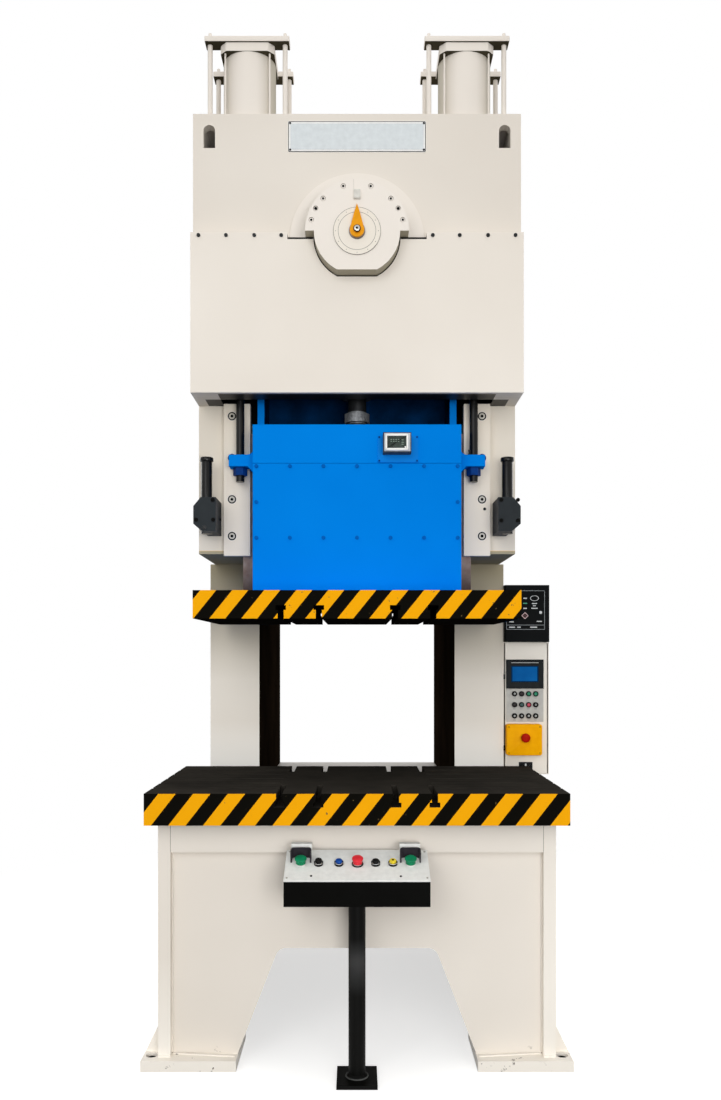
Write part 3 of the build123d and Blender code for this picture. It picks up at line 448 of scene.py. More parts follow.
head_paint = shade_painted_inside(("D9D1C6", "E3DCD2"), 0.5848, (-0.0972, 1.5298), (2.4, 3.5198), -1)
cover_paint = shade_painted_inside(("E0D8CD", "EAE3D9"), 0.6195, (-0.1925, 1), (HEAD_FOOT, 3.0675), -0.177)

FINISHES = {
    "base_frame": CREAM_WORN_PAINTED_LIGHT,
    "head_frame": enamel("head_enamel", "EAE3D9", head_paint),
    "bolster_plate": finish("oiled_tool_steel", "24221F", 0.0, 0.65, bolster_paint, IOR=1.5),
    "gib_bolts": BOLT_GREY,
    "head_front_cover": enamel("cover_enamel", "EAE3D9", cover_paint),
    "front_cover_screws": DARK_STEEL,
    "bearing_cover": enamel("bearing_enamel", "EBE4DB", bearing_paint),
    "dial_ring": finish("printed_dial", "E8E1D5", 0.2, 0.4, dial_paint, IOR=1.5),
    "crank_bushes": turned_steel("bearing_bronze", "8A6236", "B58A50", 0.35),
    "main_motor": plate_enamel("grey_enamel", "4E585F", "5E6970"),
    "drive_belts": RUBBER,
    "controller_box": coat("controller_black", "07090A", "0E1011", 0.4, 0.02),
    "console_box": coat("console_powder_coat", "060605", "0A0A09", 0.5, 0.02),
    "console_post": finish("satin_black_coat", "262625", 0.06, 0.4, post_paint, IOR=1.5),
    "slide_body": enamel("ram_enamel", "017DDD", ram_paint, 0.0, 0.45),
    "slide_display": finish("silver_lacquer", "C4C8CC", 0.03, 0.35, display_paint, IOR=1.5),
    "adjusting_screw": finish("oiled_screw_steel", "4C4E50", 0.3, 0.45, screw_paint, Metallic=0.6),
}
MOULDED = (
    ("index_block", "index_lacquer", "C9C6BE", "DEDBD3", 0.35),
    ("operator_screen", "black_bezel", "121516", "1A1F20", 0.4, 0.06),
    ("keypad", "grey_panel", "B9B7B1", "C6C4BE", 0.4),
    ("stop_box", "yellow_box", "F9AB03", "FFB508", 0.4, 0.02),
    ("console_panel", "light_grey_panel", "E2E3DF", "ECEDE9", 0.4),
    ("palm_guards", "grey_black_abs", "2C292E", "38353A", 0.45, 0.08),
    ("slide_cover_bolts", "blue_screws", "0557AA", "0B62B8", 0.4, 0.0),
    # The pull rod nuts are blue enamel painted darker as painted shade under the ears.
    ("pull_rod_nuts", "shaded_blue_enamel", "06306B", "0A3C80", 0.4, 0.03),
    ("crank_pointer", "orange_enamel", "E09408", "EC9E0A", 0.35),
    ("mode_selector", "black_knob", "101010", "1B1B1B", 0.35, 0.1),
    ("blue_button", "blue_abs", "123C86", "1B4FA6", 0.3),
    ("red_stop_button", "red_abs", "D42A34", "E63A44", 0.3),
    ("black_button", "black_cap", "111111", "1C1C1C", 0.3, 0.1),
    ("cabinet_stop_button", "orange_red_abs", "A81206", "BC1C0C", 0.35, 0.02),
    ("key_switch", "yellow_abs", "D9BF2A", "EAD23A", 0.35),
)
SHARED = (
    (CREAM, "dial_backing_plate bearing_cover_bolts rear_guard cylinder_top_plates cylinder_studs"),
    (CREAM, "left_balance_cylinder right_balance_cylinder"),
    (COLUMN_CREAM, "left_upright right_upright"),
    (GIB_CREAM, "left_gib_plate right_gib_plate"),
    (CABINET_CREAM, "cabinet_body cabinet_door"),
    (CHARCOAL, "left_clamp_block right_clamp_block"),
    (BLUE, "slide_upper_cover slide_lower_cover"),
    (BLUED, "pull_rods clamp_posts"),
    (STEEL, "balance_pistons crankshaft drive_shaft"),
    (IRON, "main_gear connecting_rod flywheel motor_pulley"),
    (GREEN_ABS, "left_palm_button right_palm_button"),
)
for node, *look in MOULDED:
    FINISHES[node] = moulded(*look)
for material, names in SHARED:
    FINISHES.update(dict.fromkeys(names.split(), material))

for name, material in FINISHES.items():
    nodes[name].data.materials.clear()
    nodes[name].data.materials.append(material)


# Modelling


def activate(*pieces):
    """Leaves any editing and selects these pieces alone."""
    if bpy.context.object and bpy.context.object.mode != "OBJECT":
        end_edit()
    bpy.ops.object.select_all(action="DESELECT")
    for piece in pieces:
        piece.select_set(True)
    if pieces:
        bpy.context.view_layer.objects.active = pieces[0]


def end_edit():
    bpy.ops.object.mode_set(mode="OBJECT")


def settle(piece):
    """Puts the piece's place into its mesh."""
    activate(piece)
    bpy.ops.object.transform_apply(location=True, rotation=True, scale=True)
    return piece


def new_piece(name):
    """Names and settles what an operator has just made."""
    piece = bpy.context.object
    piece.name = name
    return settle(piece)


def block(name, low, high):
    """A box between two corners."""
    activate()
    middle = [(a + b) / 2 for a, b in zip(low, high)]
    size = [b - a for a, b in zip(low, high)]
    bpy.ops.mesh.primitive_cube_add(size=1, location=middle, scale=size)
    return new_piece(name)


def turn_to(towards):
    """The turn that points an upright piece towards a direction."""
    return Vector(UP).rotation_difference(towards).to_euler()


def bar(name, foot, towards, radius, length, sides=32):
    """A round bar from its foot towards a direction."""
    activate()
    towards = Vector(towards).normalized()
    middle = Vector(foot) + towards * (length / 2)
    bpy.ops.mesh.primitive_cylinder_add(
        vertices=sides, radius=radius, depth=length, location=middle, rotation=turn_to(towards)
    )
    return new_piece(name)


def pick(piece, test, kind="FACE"):
    """Opens the piece for editing, with the faces or edges picked that pass the test."""
    activate(piece)
    bpy.ops.object.mode_set(mode="EDIT")
    bpy.ops.mesh.select_mode(type=kind)
    bpy.ops.mesh.select_all(action="DESELECT")
    mesh = bmesh.from_edit_mesh(piece.data)
    for item in mesh.faces if kind == "FACE" else mesh.edges:
        item.select_set(test(item))
    mesh.select_flush_mode()
    bmesh.update_edit_mesh(piece.data)


def looks(direction):
    """A test for the faces that look in a direction."""
    return lambda face: face.normal.dot(Vector(direction)) > 0.9


def runs(direction):
    """A test for the edges that run along a direction."""
    along = Vector(direction)
    return lambda edge: abs((edge.verts[0].co - edge.verts[1].co).normalized().dot(along)) > 0.99


def bevel_along(piece, direction, width, segments):
    """Bevels the edges that run along a direction."""
    pick(piece, runs(direction), "EDGE")
    bpy.ops.mesh.bevel(offset=width, segments=segments, affect="EDGES")
    end_edit()
    return piece


def rounded_plate(name, low, high, radius):
    """A flat plate across Y with rounded corners."""
    return bevel_along(block(name, low, high), FRONT, radius, 4)


def tube(name, foot, towards, radius, wall, length, sides=32):
    """A short pipe from its foot towards a direction."""
    piece = bar(name, foot, towards, radius, length, sides)
    along = Vector(towards)
    pick(piece, lambda face: abs(face.normal.dot(along)) > 0.9)
    bpy.ops.mesh.inset(thickness=wall, use_individual=True)
    bpy.ops.mesh.bridge_edge_loops()
    bpy.ops.mesh.select_all(action="SELECT")
    bpy.ops.mesh.normals_make_consistent(inside=False)
    end_edit()
    return piece


def soften(piece, width=0, segments=2):
    """Rounds the sharp edges and shades the rest smooth."""
    activate(piece)
    if width:
        modifier = piece.modifiers.new("edge", "BEVEL")
        modifier.width = width
        modifier.segments = segments
        modifier.limit_method = "ANGLE"
        modifier.angle_limit = math.radians(40)
        bpy.ops.object.modifier_apply(modifier=modifier.name)
    bpy.ops.object.shade_smooth_by_angle(angle=math.radians(35))
    return piece


def sink(piece, margin, depth):
    """Sets back the middle of the front face, which stays picked."""
    pick(piece, looks(FRONT))
    bpy.ops.mesh.inset(thickness=margin)
    bpy.ops.mesh.extrude_region_move(TRANSFORM_OT_translate={"value": (0, depth, 0)})
    return piece


def cut_level(piece, level, keep_below=False):
    """Cuts the piece off at a level and closes the cut."""
    pick(piece, lambda face: True)
    bpy.ops.mesh.bisect(
        plane_co=(0, 0, level), plane_no=UP, clear_outer=keep_below, clear_inner=not keep_below, use_fill=True
    )
    end_edit()
    return piece


def paint_picked(piece, outside, inside):
    """Gives the piece one material and its picked faces another."""
    end_edit()
    piece.data.materials.append(outside)
    piece.data.materials.append(inside)
    for face in piece.data.polygons:
        face.material_index = int(face.select)


def together(name, *pieces):
    """Joins pieces into one."""
    activate(*pieces)
    bpy.ops.object.join()
    pieces[0].name = name
    return settle(pieces[0])


def done(piece, slot, material=None, body="frame"):
    """Gives the piece its material and the body it rides on. The slot is not used."""
    piece.data.name = piece.name
    if material:
        piece.data.materials.append(material)
    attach(piece, body)
    return piece


def copies(piece, places):
    """Copies of the piece at every place, joined into one."""
    name = piece.name
    made = []
    for place in places:
        copy = piece.copy()
        copy.data = piece.data.copy()
        copy.location = place
        bpy.context.collection.objects.link(copy)
        made.append(copy)
    bpy.data.objects.remove(piece)
    return together(name, *made)


def spread(piece, places, *finish):
    return done(copies(piece, places), *finish)


def socket_screw(name, towards, radius, height, finish, socket=0.58, recess=BLACK):
    """A cap screw standing at the origin; by default its six-sided socket is painted black as painted shade."""
    head = bar(name, ORIGIN, UP, radius, height, 24)
    pick(head, looks(UP))
    bpy.ops.mesh.inset(thickness=radius * (1 - socket))
    mesh = bmesh.from_edit_mesh(head.data)
    for vert in mesh.verts:
        if vert.select:
            angle = math.atan2(vert.co.y, vert.co.x)
            side = radius * socket * math.cos(math.pi / 6) / math.cos(angle % (math.pi / 3) - math.pi / 6)
            vert.co.x = side * math.cos(angle)
            vert.co.y = side * math.sin(angle)
    bmesh.update_edit_mesh(head.data)
    bpy.ops.mesh.extrude_region_move(TRANSFORM_OT_translate={"value": (0, 0, -height * 0.55)})
    bpy.ops.mesh.select_more()
    # The socket's faces take the recess material: black by default, painted shade in the hollow.
    paint_picked(head, finish, recess)

    def on_rim(vert):
        return abs(vert.co.z - height) < 1e-6 and vert.co.xy.length > radius * 0.95

    pick(head, lambda edge: all(map(on_rim, edge.verts)), "EDGE")
    bpy.ops.mesh.bevel(offset=height * 0.25, segments=2, affect="EDGES")
    end_edit()
    head.rotation_euler = turn_to(towards)
    return soften(settle(head))


def marks(name, plane_y, spots, material, slot, body="frame"):
    """Printed bars on a front face, each with its middle x and z, width and height."""
    pieces = []
    for x, z, width, height in spots:
        low = (x - width / 2, plane_y - 0.0005, z - height / 2)
        high = (x + width / 2, plane_y, z + height / 2)
        pieces.append(rounded_plate(name, low, high, min(width, height) * 0.3))
    return done(together(name, *pieces), slot, material, body)


def weld_bead(name, start, end, radius):
    """A welded seam between two points, with ripples 7 mm apart."""
    start, end = Vector(start), Vector(end)
    length = (end - start).length
    along = (end - start).normalized()
    bead = bar(name, start, along, radius, length, 10)
    pick(bead, runs(along), "EDGE")
    bpy.ops.mesh.subdivide(number_cuts=round(length / 0.0035))
    end_edit()
    for vert in bead.data.vertices:
        travel = (vert.co - start).dot(along)
        centre = start + along * travel
        vert.co = centre + (vert.co - centre) * (0.86 + 0.14 * math.cos(travel / 0.007 * math.tau))
    return soften(bead)


# Floor, light and camera


def seen_directly(tree):
    """A mask for the rays that show the stage to the camera."""
    path = add_node(tree, "LightPath").outputs
    seen = reckon(tree, "MAXIMUM", path["Is Camera Ray"], path["Is Glossy Ray"])
    return reckon(tree, "MAXIMUM", seen, path["Is Transmission Ray"])


def pale_floor():
    """Pale round the machine and white further off. To the object it is grey, so that undersides stay dark."""
    material = bpy.data.materials.new("pale_floor")
    material.use_nodes = True
    tree = material.node_tree
    tree.nodes.clear()
    p = Painter(tree)
    x, y, z = p.split()
    beyond = reckon(tree, "POWER", p.minus(y, FLOOR_MIDDLE_Y), 2)
    away = reckon(tree, "POWER", reckon(tree, "ADD", p.times(x, x), beyond), 0.5)
    paint = add_node(tree, "BsdfDiffuse", {"Color": linear("E6E5E3")})
    glow = add_node(tree, "Emission", {"Color": WHITE, "Strength": FLOOR_GLOW})
    lit = add_node(tree, "AddShader", links={0: paint.outputs[0], 1: glow.outputs[0]})
    far = add_node(tree, "Emission", {"Color": WHITE, "Strength": 1.0})
    fade = {0: p.rise(away, *FLOOR_FADE), 1: lit.outputs[0], 2: far.outputs[0]}
    shown = add_node(tree, "MixShader", links=fade)
    grey = add_node(tree, "BsdfDiffuse", {"Color": linear(FLOOR_GREY)})
    sides = {0: seen_directly(tree), 1: grey.outputs[0], 2: shown.outputs[0]}
    mixed = add_node(tree, "MixShader", links=sides)
    add_node(tree, "OutputMaterial", links={"Surface": mixed.outputs[0]})
    return material


def stage():
    """The floor, white surroundings, soft lamps, and the camera as in the photograph."""
    activate()
    bpy.ops.mesh.primitive_plane_add(size=60, location=(0, 10, -0.001))
    floor = new_piece("floor")
    floor.data.materials.append(pale_floor())

    world = bpy.data.worlds.new("studio")
    bpy.context.scene.world = world
    world.use_nodes = True
    tree = world.node_tree
    tree.nodes.clear()
    limits = {"To Min": SKY_STRENGTH, "To Max": 1.0}
    strength = add_node(tree, "MapRange", limits, {"Value": seen_directly(tree)}).outputs["Result"]
    sky = add_node(tree, "Background", {"Color": WHITE}, {"Strength": strength})
    add_node(tree, "OutputWorld", links={"Surface": sky.outputs["Background"]})

    for name, place, size, power in LAMPS:
        bpy.ops.object.light_add(type="AREA", location=place)
        lamp = bpy.context.object
        lamp.name = name
        lamp.data.size = size
        lamp.data.energy = power
        lamp.rotation_euler = (Vector(LAMP_AIM) - Vector(place)).to_track_quat("-Z", "Y").to_euler()

    bpy.ops.object.camera_add(location=CAMERA_PLACE, rotation=(math.pi / 2, 0, 0))
    camera = bpy.context.object
    camera.data.sensor_width = SENSOR_WIDTH
    camera.data.lens = SENSOR_WIDTH * FOCAL_PIXELS / PICTURE_PIXELS
    camera.data.shift_x = (PICTURE_MIDDLE - CENTRE_PIXEL) / PICTURE_PIXELS
    camera.data.shift_y = (HORIZON_PIXEL - PICTURE_PIXELS / 2) / PICTURE_PIXELS
    camera.data.clip_end = 100
    bpy.context.scene.camera = camera
    bpy.context.scene.view_settings.view_transform = "Standard"


# Head, ram and jaws


def nameplate():
    """The bare plate on the head. Each lacquer stands 0.3 mm prouder than the one round it."""
    lacquers = (
        (0, "white_lacquer", "ECECEA", "F6F6F4"), (0.0012, "black_print", "1A1A1A", "262626"),
        (0.0040, "white_field", "ECECEA", "F6F6F4"), (0.0098, "grey_hairline", "9CA0A6", "ABAFB4"),
        (0.0107, "pale_lacquer", "CFD5D7", "D8DEE0"),
    )
    layers = []
    for number, (inset, name, dark, light) in enumerate(lacquers):
        low = (inset - 0.263, HEAD_FRONT - 0.0018 - 0.0003 * number, 3.4035 + inset)
        high = (0.263 - inset, HEAD_FRONT, 3.5215 - inset)
        layer = rounded_plate("nameplate", low, high, max(0.0015, 0.005 - inset))
        layer.data.materials.append(moulded(name, dark, light, 0.35))
        layers.append(layer)
    done(soften(together("nameplate", *layers)), "white_plastic")
    places = [(x, HEAD_FRONT - 0.0023, z) for x in (-0.2545, 0.2545) for z in (3.412, 3.513)]
    spread(socket_screw("nameplate_screws", FRONT, 0.004, 0.0025, DARK_STEEL), places, "black_oxide")


def ram_display():
    """The display's glass with its white rim, and the screws of its plate."""
    rim = rounded_plate("display_rim", (0.106, -0.218, 2.253), (0.191, -0.215, 2.312), 0.004)
    glass = moulded("liquid_crystal_glass", "2E3430", "46504A", 0.12)
    paint_picked(sink(rim, 0.0065, 0.0025), moulded("white_abs", "ECECE8", "F6F6F2", 0.3), glass)
    done(soften(rim), "white_plastic", None, "slide")
    dot = bar("display_lamp", (0.1805, -0.2156, 2.2635), FRONT, 0.0032, 0.0012, 20)
    done(soften(dot, 0.0004), "white_plastic", moulded("white_lamp", "F2F2EE", "FFFFFF", 0.2), "slide")
    digits = [(0.128 + 0.009 * n, z, 0.0055, 0.0016) for z in (2.292, 2.285) for n in range(4)]
    digits += [(0.170, 2.292 - 0.006 * n, 0.008, 0.0014) for n in range(4)]
    ink = moulded("lcd_ink", "8FA796", "A6BBAA", 0.4)
    marks("display_segments", -0.2156, digits, ink, "white_plastic", "slide")
    screw = socket_screw("display_screws", FRONT, 0.0042, 0.003, FINISHES["slide_cover_bolts"])
    places = [(x, -0.165, z) for z in (2.2225, 2.312) for x in (0.084, 0.227)]
    spread(screw, places, "black_oxide", None, "slide")


def ram_fittings():
    """A grease nipple on the right ear, a plug in the right guide plate, and the guide bolts."""
    shapes = ((2.258, 0.008, 0.010, 6), (2.268, 0.0045, 0.010, 16), (2.277, 0.006, 0.006, 16))
    parts = [bar("grease_nipple", (0.437, -0.074, foot), UP, *shape) for foot, *shape in shapes]
    nipple = soften(together("grease_nipple", *parts), 0.0012)
    done(nipple, "black_oxide", DARK_STEEL, "slide")
    plug = bar("oil_plug", (0.500, -0.034, 2.060), FRONT, 0.006, 0.003, 16)
    done(soften(plug, 0.001), "black_oxide", DARK_STEEL)
    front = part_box("gib_bolts")[0][1]
    places = [(side * 0.490, front, z) for side in (-1, 1) for z in (1.954, 2.098, 2.260, 2.424)]
    washer = tube("guide_bolt_washers", (0, 0.0025, 0), FRONT, 0.0192, 0.0026, 0.0040, 40)
    spread(soften(washer, 0.0004), places, "cream_paint", CREAM)
    # A thin black disc under each washer shows as a dark ring round the cap: painted shade in the gap.
    gap = bar("guide_bolt_shadow_rings", ORIGIN, FRONT, 0.0170, 0.0003, 40)
    spread(soften(gap), places, "black_oxide", BLACK)
    spread(socket_screw("guide_bolt_caps", FRONT, 0.0120, 0.0024, BOLT_GREY, 0.52), places, "zinc_steel")


def clamp_screws():
    """Cap screws and a stud's end on the clamp blocks, and the posts behind, with wider caps."""
    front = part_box("right_clamp_block")[0][1]
    spots = [(x, z) for x in (0.547, 0.610) for z in (1.998, 2.076)]
    spots += [(-0.545, 2.001), (-0.547, 2.076), (-0.610, 2.001)]
    screw = socket_screw("clamp_screws", FRONT, 0.0075, 0.006, BLACK)
    spread(screw, [(x, front, z) for x, z in spots], "black_oxide")
    side_screw = socket_screw("clamp_side_screws", (1, 0, 0), 0.005, 0.004, BLACK)
    spread(side_screw, [(-0.536, -0.045, 2.017)], "black_oxide")
    stud = bar("clamp_stud_end", (-0.579, front, 1.972), FRONT, 0.008, 0.003, 20)
    done(soften(stud, 0.001), "black_oxide", DARK_STEEL)
    posts = []
    for x in (-0.582, 0.582):
        posts.append(soften(bar("clamp_post_bars", (x, -0.078, 1.957), UP, 0.021, 0.280, 40), 0.001))
        posts.append(soften(bar("clamp_post_bars", (x, -0.078, 2.236), UP, 0.026, 0.016, 40), 0.003))
    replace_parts(done(together("clamp_post_bars", *posts), "black_oxide", BLUED), "clamp_posts")


def bearing_trim():
    """Bolt sockets, dowel holes, the zero line, and the edges of the sheet cover and the backing plate."""
    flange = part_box("bearing_cover_bolts")[0][1]

    def on_ring(*angles):
        turns = [math.radians(side * angle) for side in (-1, 1) for angle in angles]
        return [(BOLT_RING * math.sin(turn), flange, CRANK_Z + BOLT_RING * math.cos(turn)) for turn in turns]

    cap = socket_screw("cover_bolt_caps", FRONT, 0.0078, 0.0014, CREAM, 0.64)
    spread(cap, on_ring(17, 46, 76), "cream_paint")
    # Black discs in the dowel holes: painted shade.
    hole = bar("dowel_hole_shadows", ORIGIN, FRONT, 0.0060, 0.0012, 24)
    spread(soften(hole, 0.0003), on_ring(61), "black_oxide", BLACK)
    line = moulded("scribed_line", "A8A29A", "B4AEA5", 0.5)
    marks("zero_line", BEARING_FRONT, [(-0.012, 3.224, 0.0009, 0.038)], line, "cream_paint")
    # A black strip along each notch edge stands for the shadow under the backing plate: painted shade.
    notch_shadows = []
    for x in (-0.2125, 0.2125):
        low = (x - 0.0485, COVER_FRONT - 0.0008, 3.047)
        high = (x + 0.0485, COVER_FRONT + 0.008, 3.0533)
        notch_shadows.append(rounded_plate("notch_shadow_strips", low, high, 0.001))
    done(soften(together("notch_shadow_strips", *notch_shadows), 0.0004), "black_plastic", RUBBER)
    fill = bar("boss_hole_flat", (0, COVER_FRONT + 0.006, CRANK_Z), FRONT, 0.1632, 0.006, 96)
    done(soften(cut_level(fill, BOSS_FLAT, True)), "cream_paint", CREAM)
    lining = tube("boss_hole_seal", (0, -0.185, CRANK_Z), FRONT, 0.1629, 0.0050, 0.010, 96)
    lining = cut_level(lining, BOSS_FLAT)
    strip = block("boss_hole_seal", (-0.0737, -0.195, BOSS_FLAT), (0.0737, -0.185, BOSS_FLAT + 0.0043))
    done(soften(together("boss_hole_seal", lining, strip)), "black_plastic", RUBBER)
    seal = tube("plate_seal", (0, HEAD_FRONT, 3.062), FRONT, 0.2574, 0.0018, 0.0018, 96)
    seal = cut_level(seal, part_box("dial_backing_plate")[0][2])
    done(soften(seal), "cream_paint", moulded("aged_sealant", "8F897D", "9C968A", 0.6))


def pointer_bolt():
    """A bright bolt head on a black disc painted as the shade of its recess, which turns with the crank."""
    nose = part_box("crank_pointer")[0][1]
    recess = bar("pointer_recess_shadow", (0, nose, CRANK_Z), FRONT, 0.0138, 0.0008)
    done(soften(recess, 0.0002), "black_oxide", BLACK, "crank")
    head = socket_screw("pointer_bolt", FRONT, 0.0108, 0.004, ZINC, 0.45)
    spread(head, [(0, nose - 0.0006, CRANK_Z)], "zinc_steel", None, "crank")


# Air cylinders that balance the ram


def balance_cylinders():
    """Two air cylinders, each with a tube, a cap on four tie rods, and two cross bars on posts."""
    tubes, caps, bars, posts, pistons = [], [], [], [], []
    cap_foot = HEAD_TOP + CYLINDER_TUBE
    for x, y in ((-CYLINDER_X, CYLINDER_Y), (CYLINDER_X, CYLINDER_Y)):
        tubes.append(soften(tube("cylinder_tubes", (x, y, HEAD_TOP), UP, 0.102, 0.009, CYLINDER_TUBE, 72)))
        cap = block("cylinder_caps", (x - 0.104, y - 0.104, cap_foot), (x + 0.104, y + 0.104, BAR_FOOT))
        caps.append(soften(bevel_along(cap, UP, 0.024, 1), 0.0025))
        for dx in (-0.085, 0.085):
            for dy in (-0.085, 0.085):
                posts.append(soften(bar("tie_rods", (x + dx, y + dy, HEAD_TOP), UP, 0.0035, 0.2445, 16)))
        for low, high, post_y in BAR_SPANS:
            cross = block("cylinder_bars", (x - 0.162, low, BAR_FOOT), (x + 0.162, high, BAR_TOP))
            bars.append(soften(cross, 0.003, 3))
            for post_x in (x - 0.144, x + 0.144):
                post = bar("cylinder_posts", (post_x, post_y, HEAD_TOP), UP, 0.0095, BAR_FOOT - HEAD_TOP, 28)
                end = bar("post_end", (post_x, post_y, BAR_FOOT), UP, 0.0065, 0.046, 20)
                nut = bar("post_nut", (post_x, post_y, BAR_TOP), UP, 0.0115, 0.010, 6)
                posts += [soften(post), soften(end, 0.001), soften(nut, 0.001)]
        rod = bar("piston_rods", (x, y, 2.940), UP, 0.022, 0.818)
        head = bar("piston_head", (x, y, 3.758), UP, 0.092, 0.032, 48)
        pistons += [soften(rod), soften(head, 0.002)]
    cream = enamel("cylinder_enamel", "EBE4DB", cylinder_paint)
    tubes = done(together("cylinder_tubes", *tubes), "cream_paint", cream)
    caps = shaded_below(together("cylinder_caps", *caps))
    bars = shaded_below(together("cylinder_bars", *bars))
    posts = done(together("cylinder_posts", *posts), "cream_paint", CREAM)
    pistons = done(together("piston_rods", *pistons), "machined_steel", STEEL, "slide")
    for piece in (tubes, caps):
        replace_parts(piece, "left_balance_cylinder", "right_balance_cylinder")
    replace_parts(bars, "cylinder_top_plates")
    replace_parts(posts, "cylinder_studs")
    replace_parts(pistons, "balance_pistons")


def shaded_below(piece):
    """Cream, with the underside painted dark as painted shade."""
    pick(piece, looks((0, 0, -1)))
    # Painted shade on the downward faces.
    paint_picked(piece, CREAM, coat("underside_painted_shade", "3B372C", "4A4538", 0.7, 0.0))
    return done(piece, "cream_paint")


# Control cabinet

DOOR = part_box("cabinet_door")[0][1]
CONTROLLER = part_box("controller_box")[0][1]
PALE_PRINT = moulded("pale_print", "C9CCCB", "DADCDB", 0.5)


def screen_and_keypad():
    """The screen's lit glass, and the keypad's collars, caps and legends."""
    glass = rounded_plate("screen_glass", (0.679, DOOR - 0.0094, 1.369), (0.799, DOOR - 0.008, 1.440), 0.002)
    lit = {"IOR": 1.5, "Emission Strength": 0.15}
    done(soften(glass), "black_plastic", finish("lit_screen_glass", "15609B", 0.0, 0.2, screen_paint, **lit))
    marks("screen_line", DOOR - 0.012, [(0.739, 1.454, 0.120, 0.0022)], PALE_PRINT, "black_plastic")

    collar = tube("keypad_collars", ORIGIN, FRONT, 0.0118, 0.0068, 0.010, 24)
    places = [(x, DOOR - 0.004, z) for x in KEY_COLUMNS for z in KEY_ROWS]
    spread(soften(collar, 0.0012), places, "black_plastic", BLACK_ABS)
    for name, dark, light, spots in (
        ("keypad_grey_caps", "8F918F", "B9BBB8", ((0, 0), (3, 1), (0, 2), (1, 2), (2, 2), (3, 2))),
        ("keypad_black_caps", "1A1416", "2A2022", ((1, 0), (0, 1))),
        ("keypad_green_caps", "136E4E", "2F9A74", ((2, 0), (3, 0))),
        ("keypad_red_caps", "B03048", "D8566A", ((2, 1),)),
        ("keypad_teal_caps", "2E4B48", "4F6B68", ((1, 1),)),
    ):
        radius, length = (0.0048, 0.0095) if "grey" in name else (0.0078, 0.0108)
        cap = bar(name, ORIGIN, FRONT, radius, length, 20)
        places = [(KEY_COLUMNS[column], DOOR - 0.0042, KEY_ROWS[row]) for column, row in spots]
        spread(soften(cap, 0.0016), places, "panel_grey", moulded(name + "_abs", dark, light, 0.3))
    legends = [(x, z - 0.0185, 0.012, 0.0022) for x in KEY_COLUMNS for z in KEY_ROWS]
    grey = moulded("grey_print", "6F767C", "8A9197", 0.5)
    marks("keypad_legends", DOOR - 0.004, legends, grey, "panel_grey")


def stop_box():
    """The yellow box with its screws and its mushroom button."""
    yellow = FINISHES["stop_box"]
    case = rounded_plate("stop_case", (0.654, DOOR - 0.045, 1.049), (0.809, DOOR, 1.185), 0.010)
    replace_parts(done(soften(case, 0.0025), "yellow_paint", yellow), "stop_box")
    brass = moulded("yellow_screws", "C08C10", "CC981C", 0.4, 0.0)
    screw = socket_screw("stop_box_screws", FRONT, 0.0040, 0.0015, brass, 0.4, brass)
    spread(screw, [(x, DOOR - 0.045, z) for x in (0.664, 0.799) for z in (1.060, 1.174)], "zinc_steel")
    ring = tube("stop_collar", (STOP_X, DOOR - 0.045, STOP_Z), FRONT, 0.0215, 0.009, 0.0012, 40)
    done(soften(ring, 0.0004), "yellow_paint", yellow)
    cap = soften(bar("stop_cap", (STOP_X, DOOR - 0.0525, STOP_Z), FRONT, 0.0195, 0.0185, 48), 0.004, 3)
    stem = soften(bar("stem", (STOP_X, DOOR - 0.036, STOP_Z), FRONT, 0.009, 0.018, 24))
    red = FINISHES["cabinet_stop_button"]
    cap = done(together("stop_cap", cap, stem), "red_plastic", red, "cabinet_stop")
    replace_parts(cap, "cabinet_stop_button")


def ports_and_latches():
    """The two ports at the cabinet's foot, and the door's latches."""
    plate = rounded_plate("port_plate", (0.714, DOOR - 0.003, 0.985), (0.774, DOOR, 1.016), 0.002)
    done(soften(plate), "black_plastic", BLACK_ABS)
    for name, x in (("left_port", 0.7285), ("right_port", 0.7595)):
        port = rounded_plate(name, (x - 0.011, DOOR - 0.007, 0.989), (x + 0.011, DOOR - 0.003, 1.012), 0.002)
        done(soften(sink(port, 0.003, 0.003), 0.0004), "black_plastic", BLACK_ABS)
    badge = rounded_plate("port_badge", (0.7405, DOOR - 0.0042, 0.992), (0.7475, DOOR - 0.003, 1.009), 0.001)
    done(badge, "panel_grey", PALE_PRINT)
    for name, z in (("upper_latch", 1.392), ("lower_latch", 1.078)):
        latch = rounded_plate(name, (0.6465, DOOR - 0.004, z - 0.011), (0.653, DOOR + 0.004, z + 0.011), 0.002)
        done(soften(latch, 0.0005), "black_plastic", BLACK_ABS)


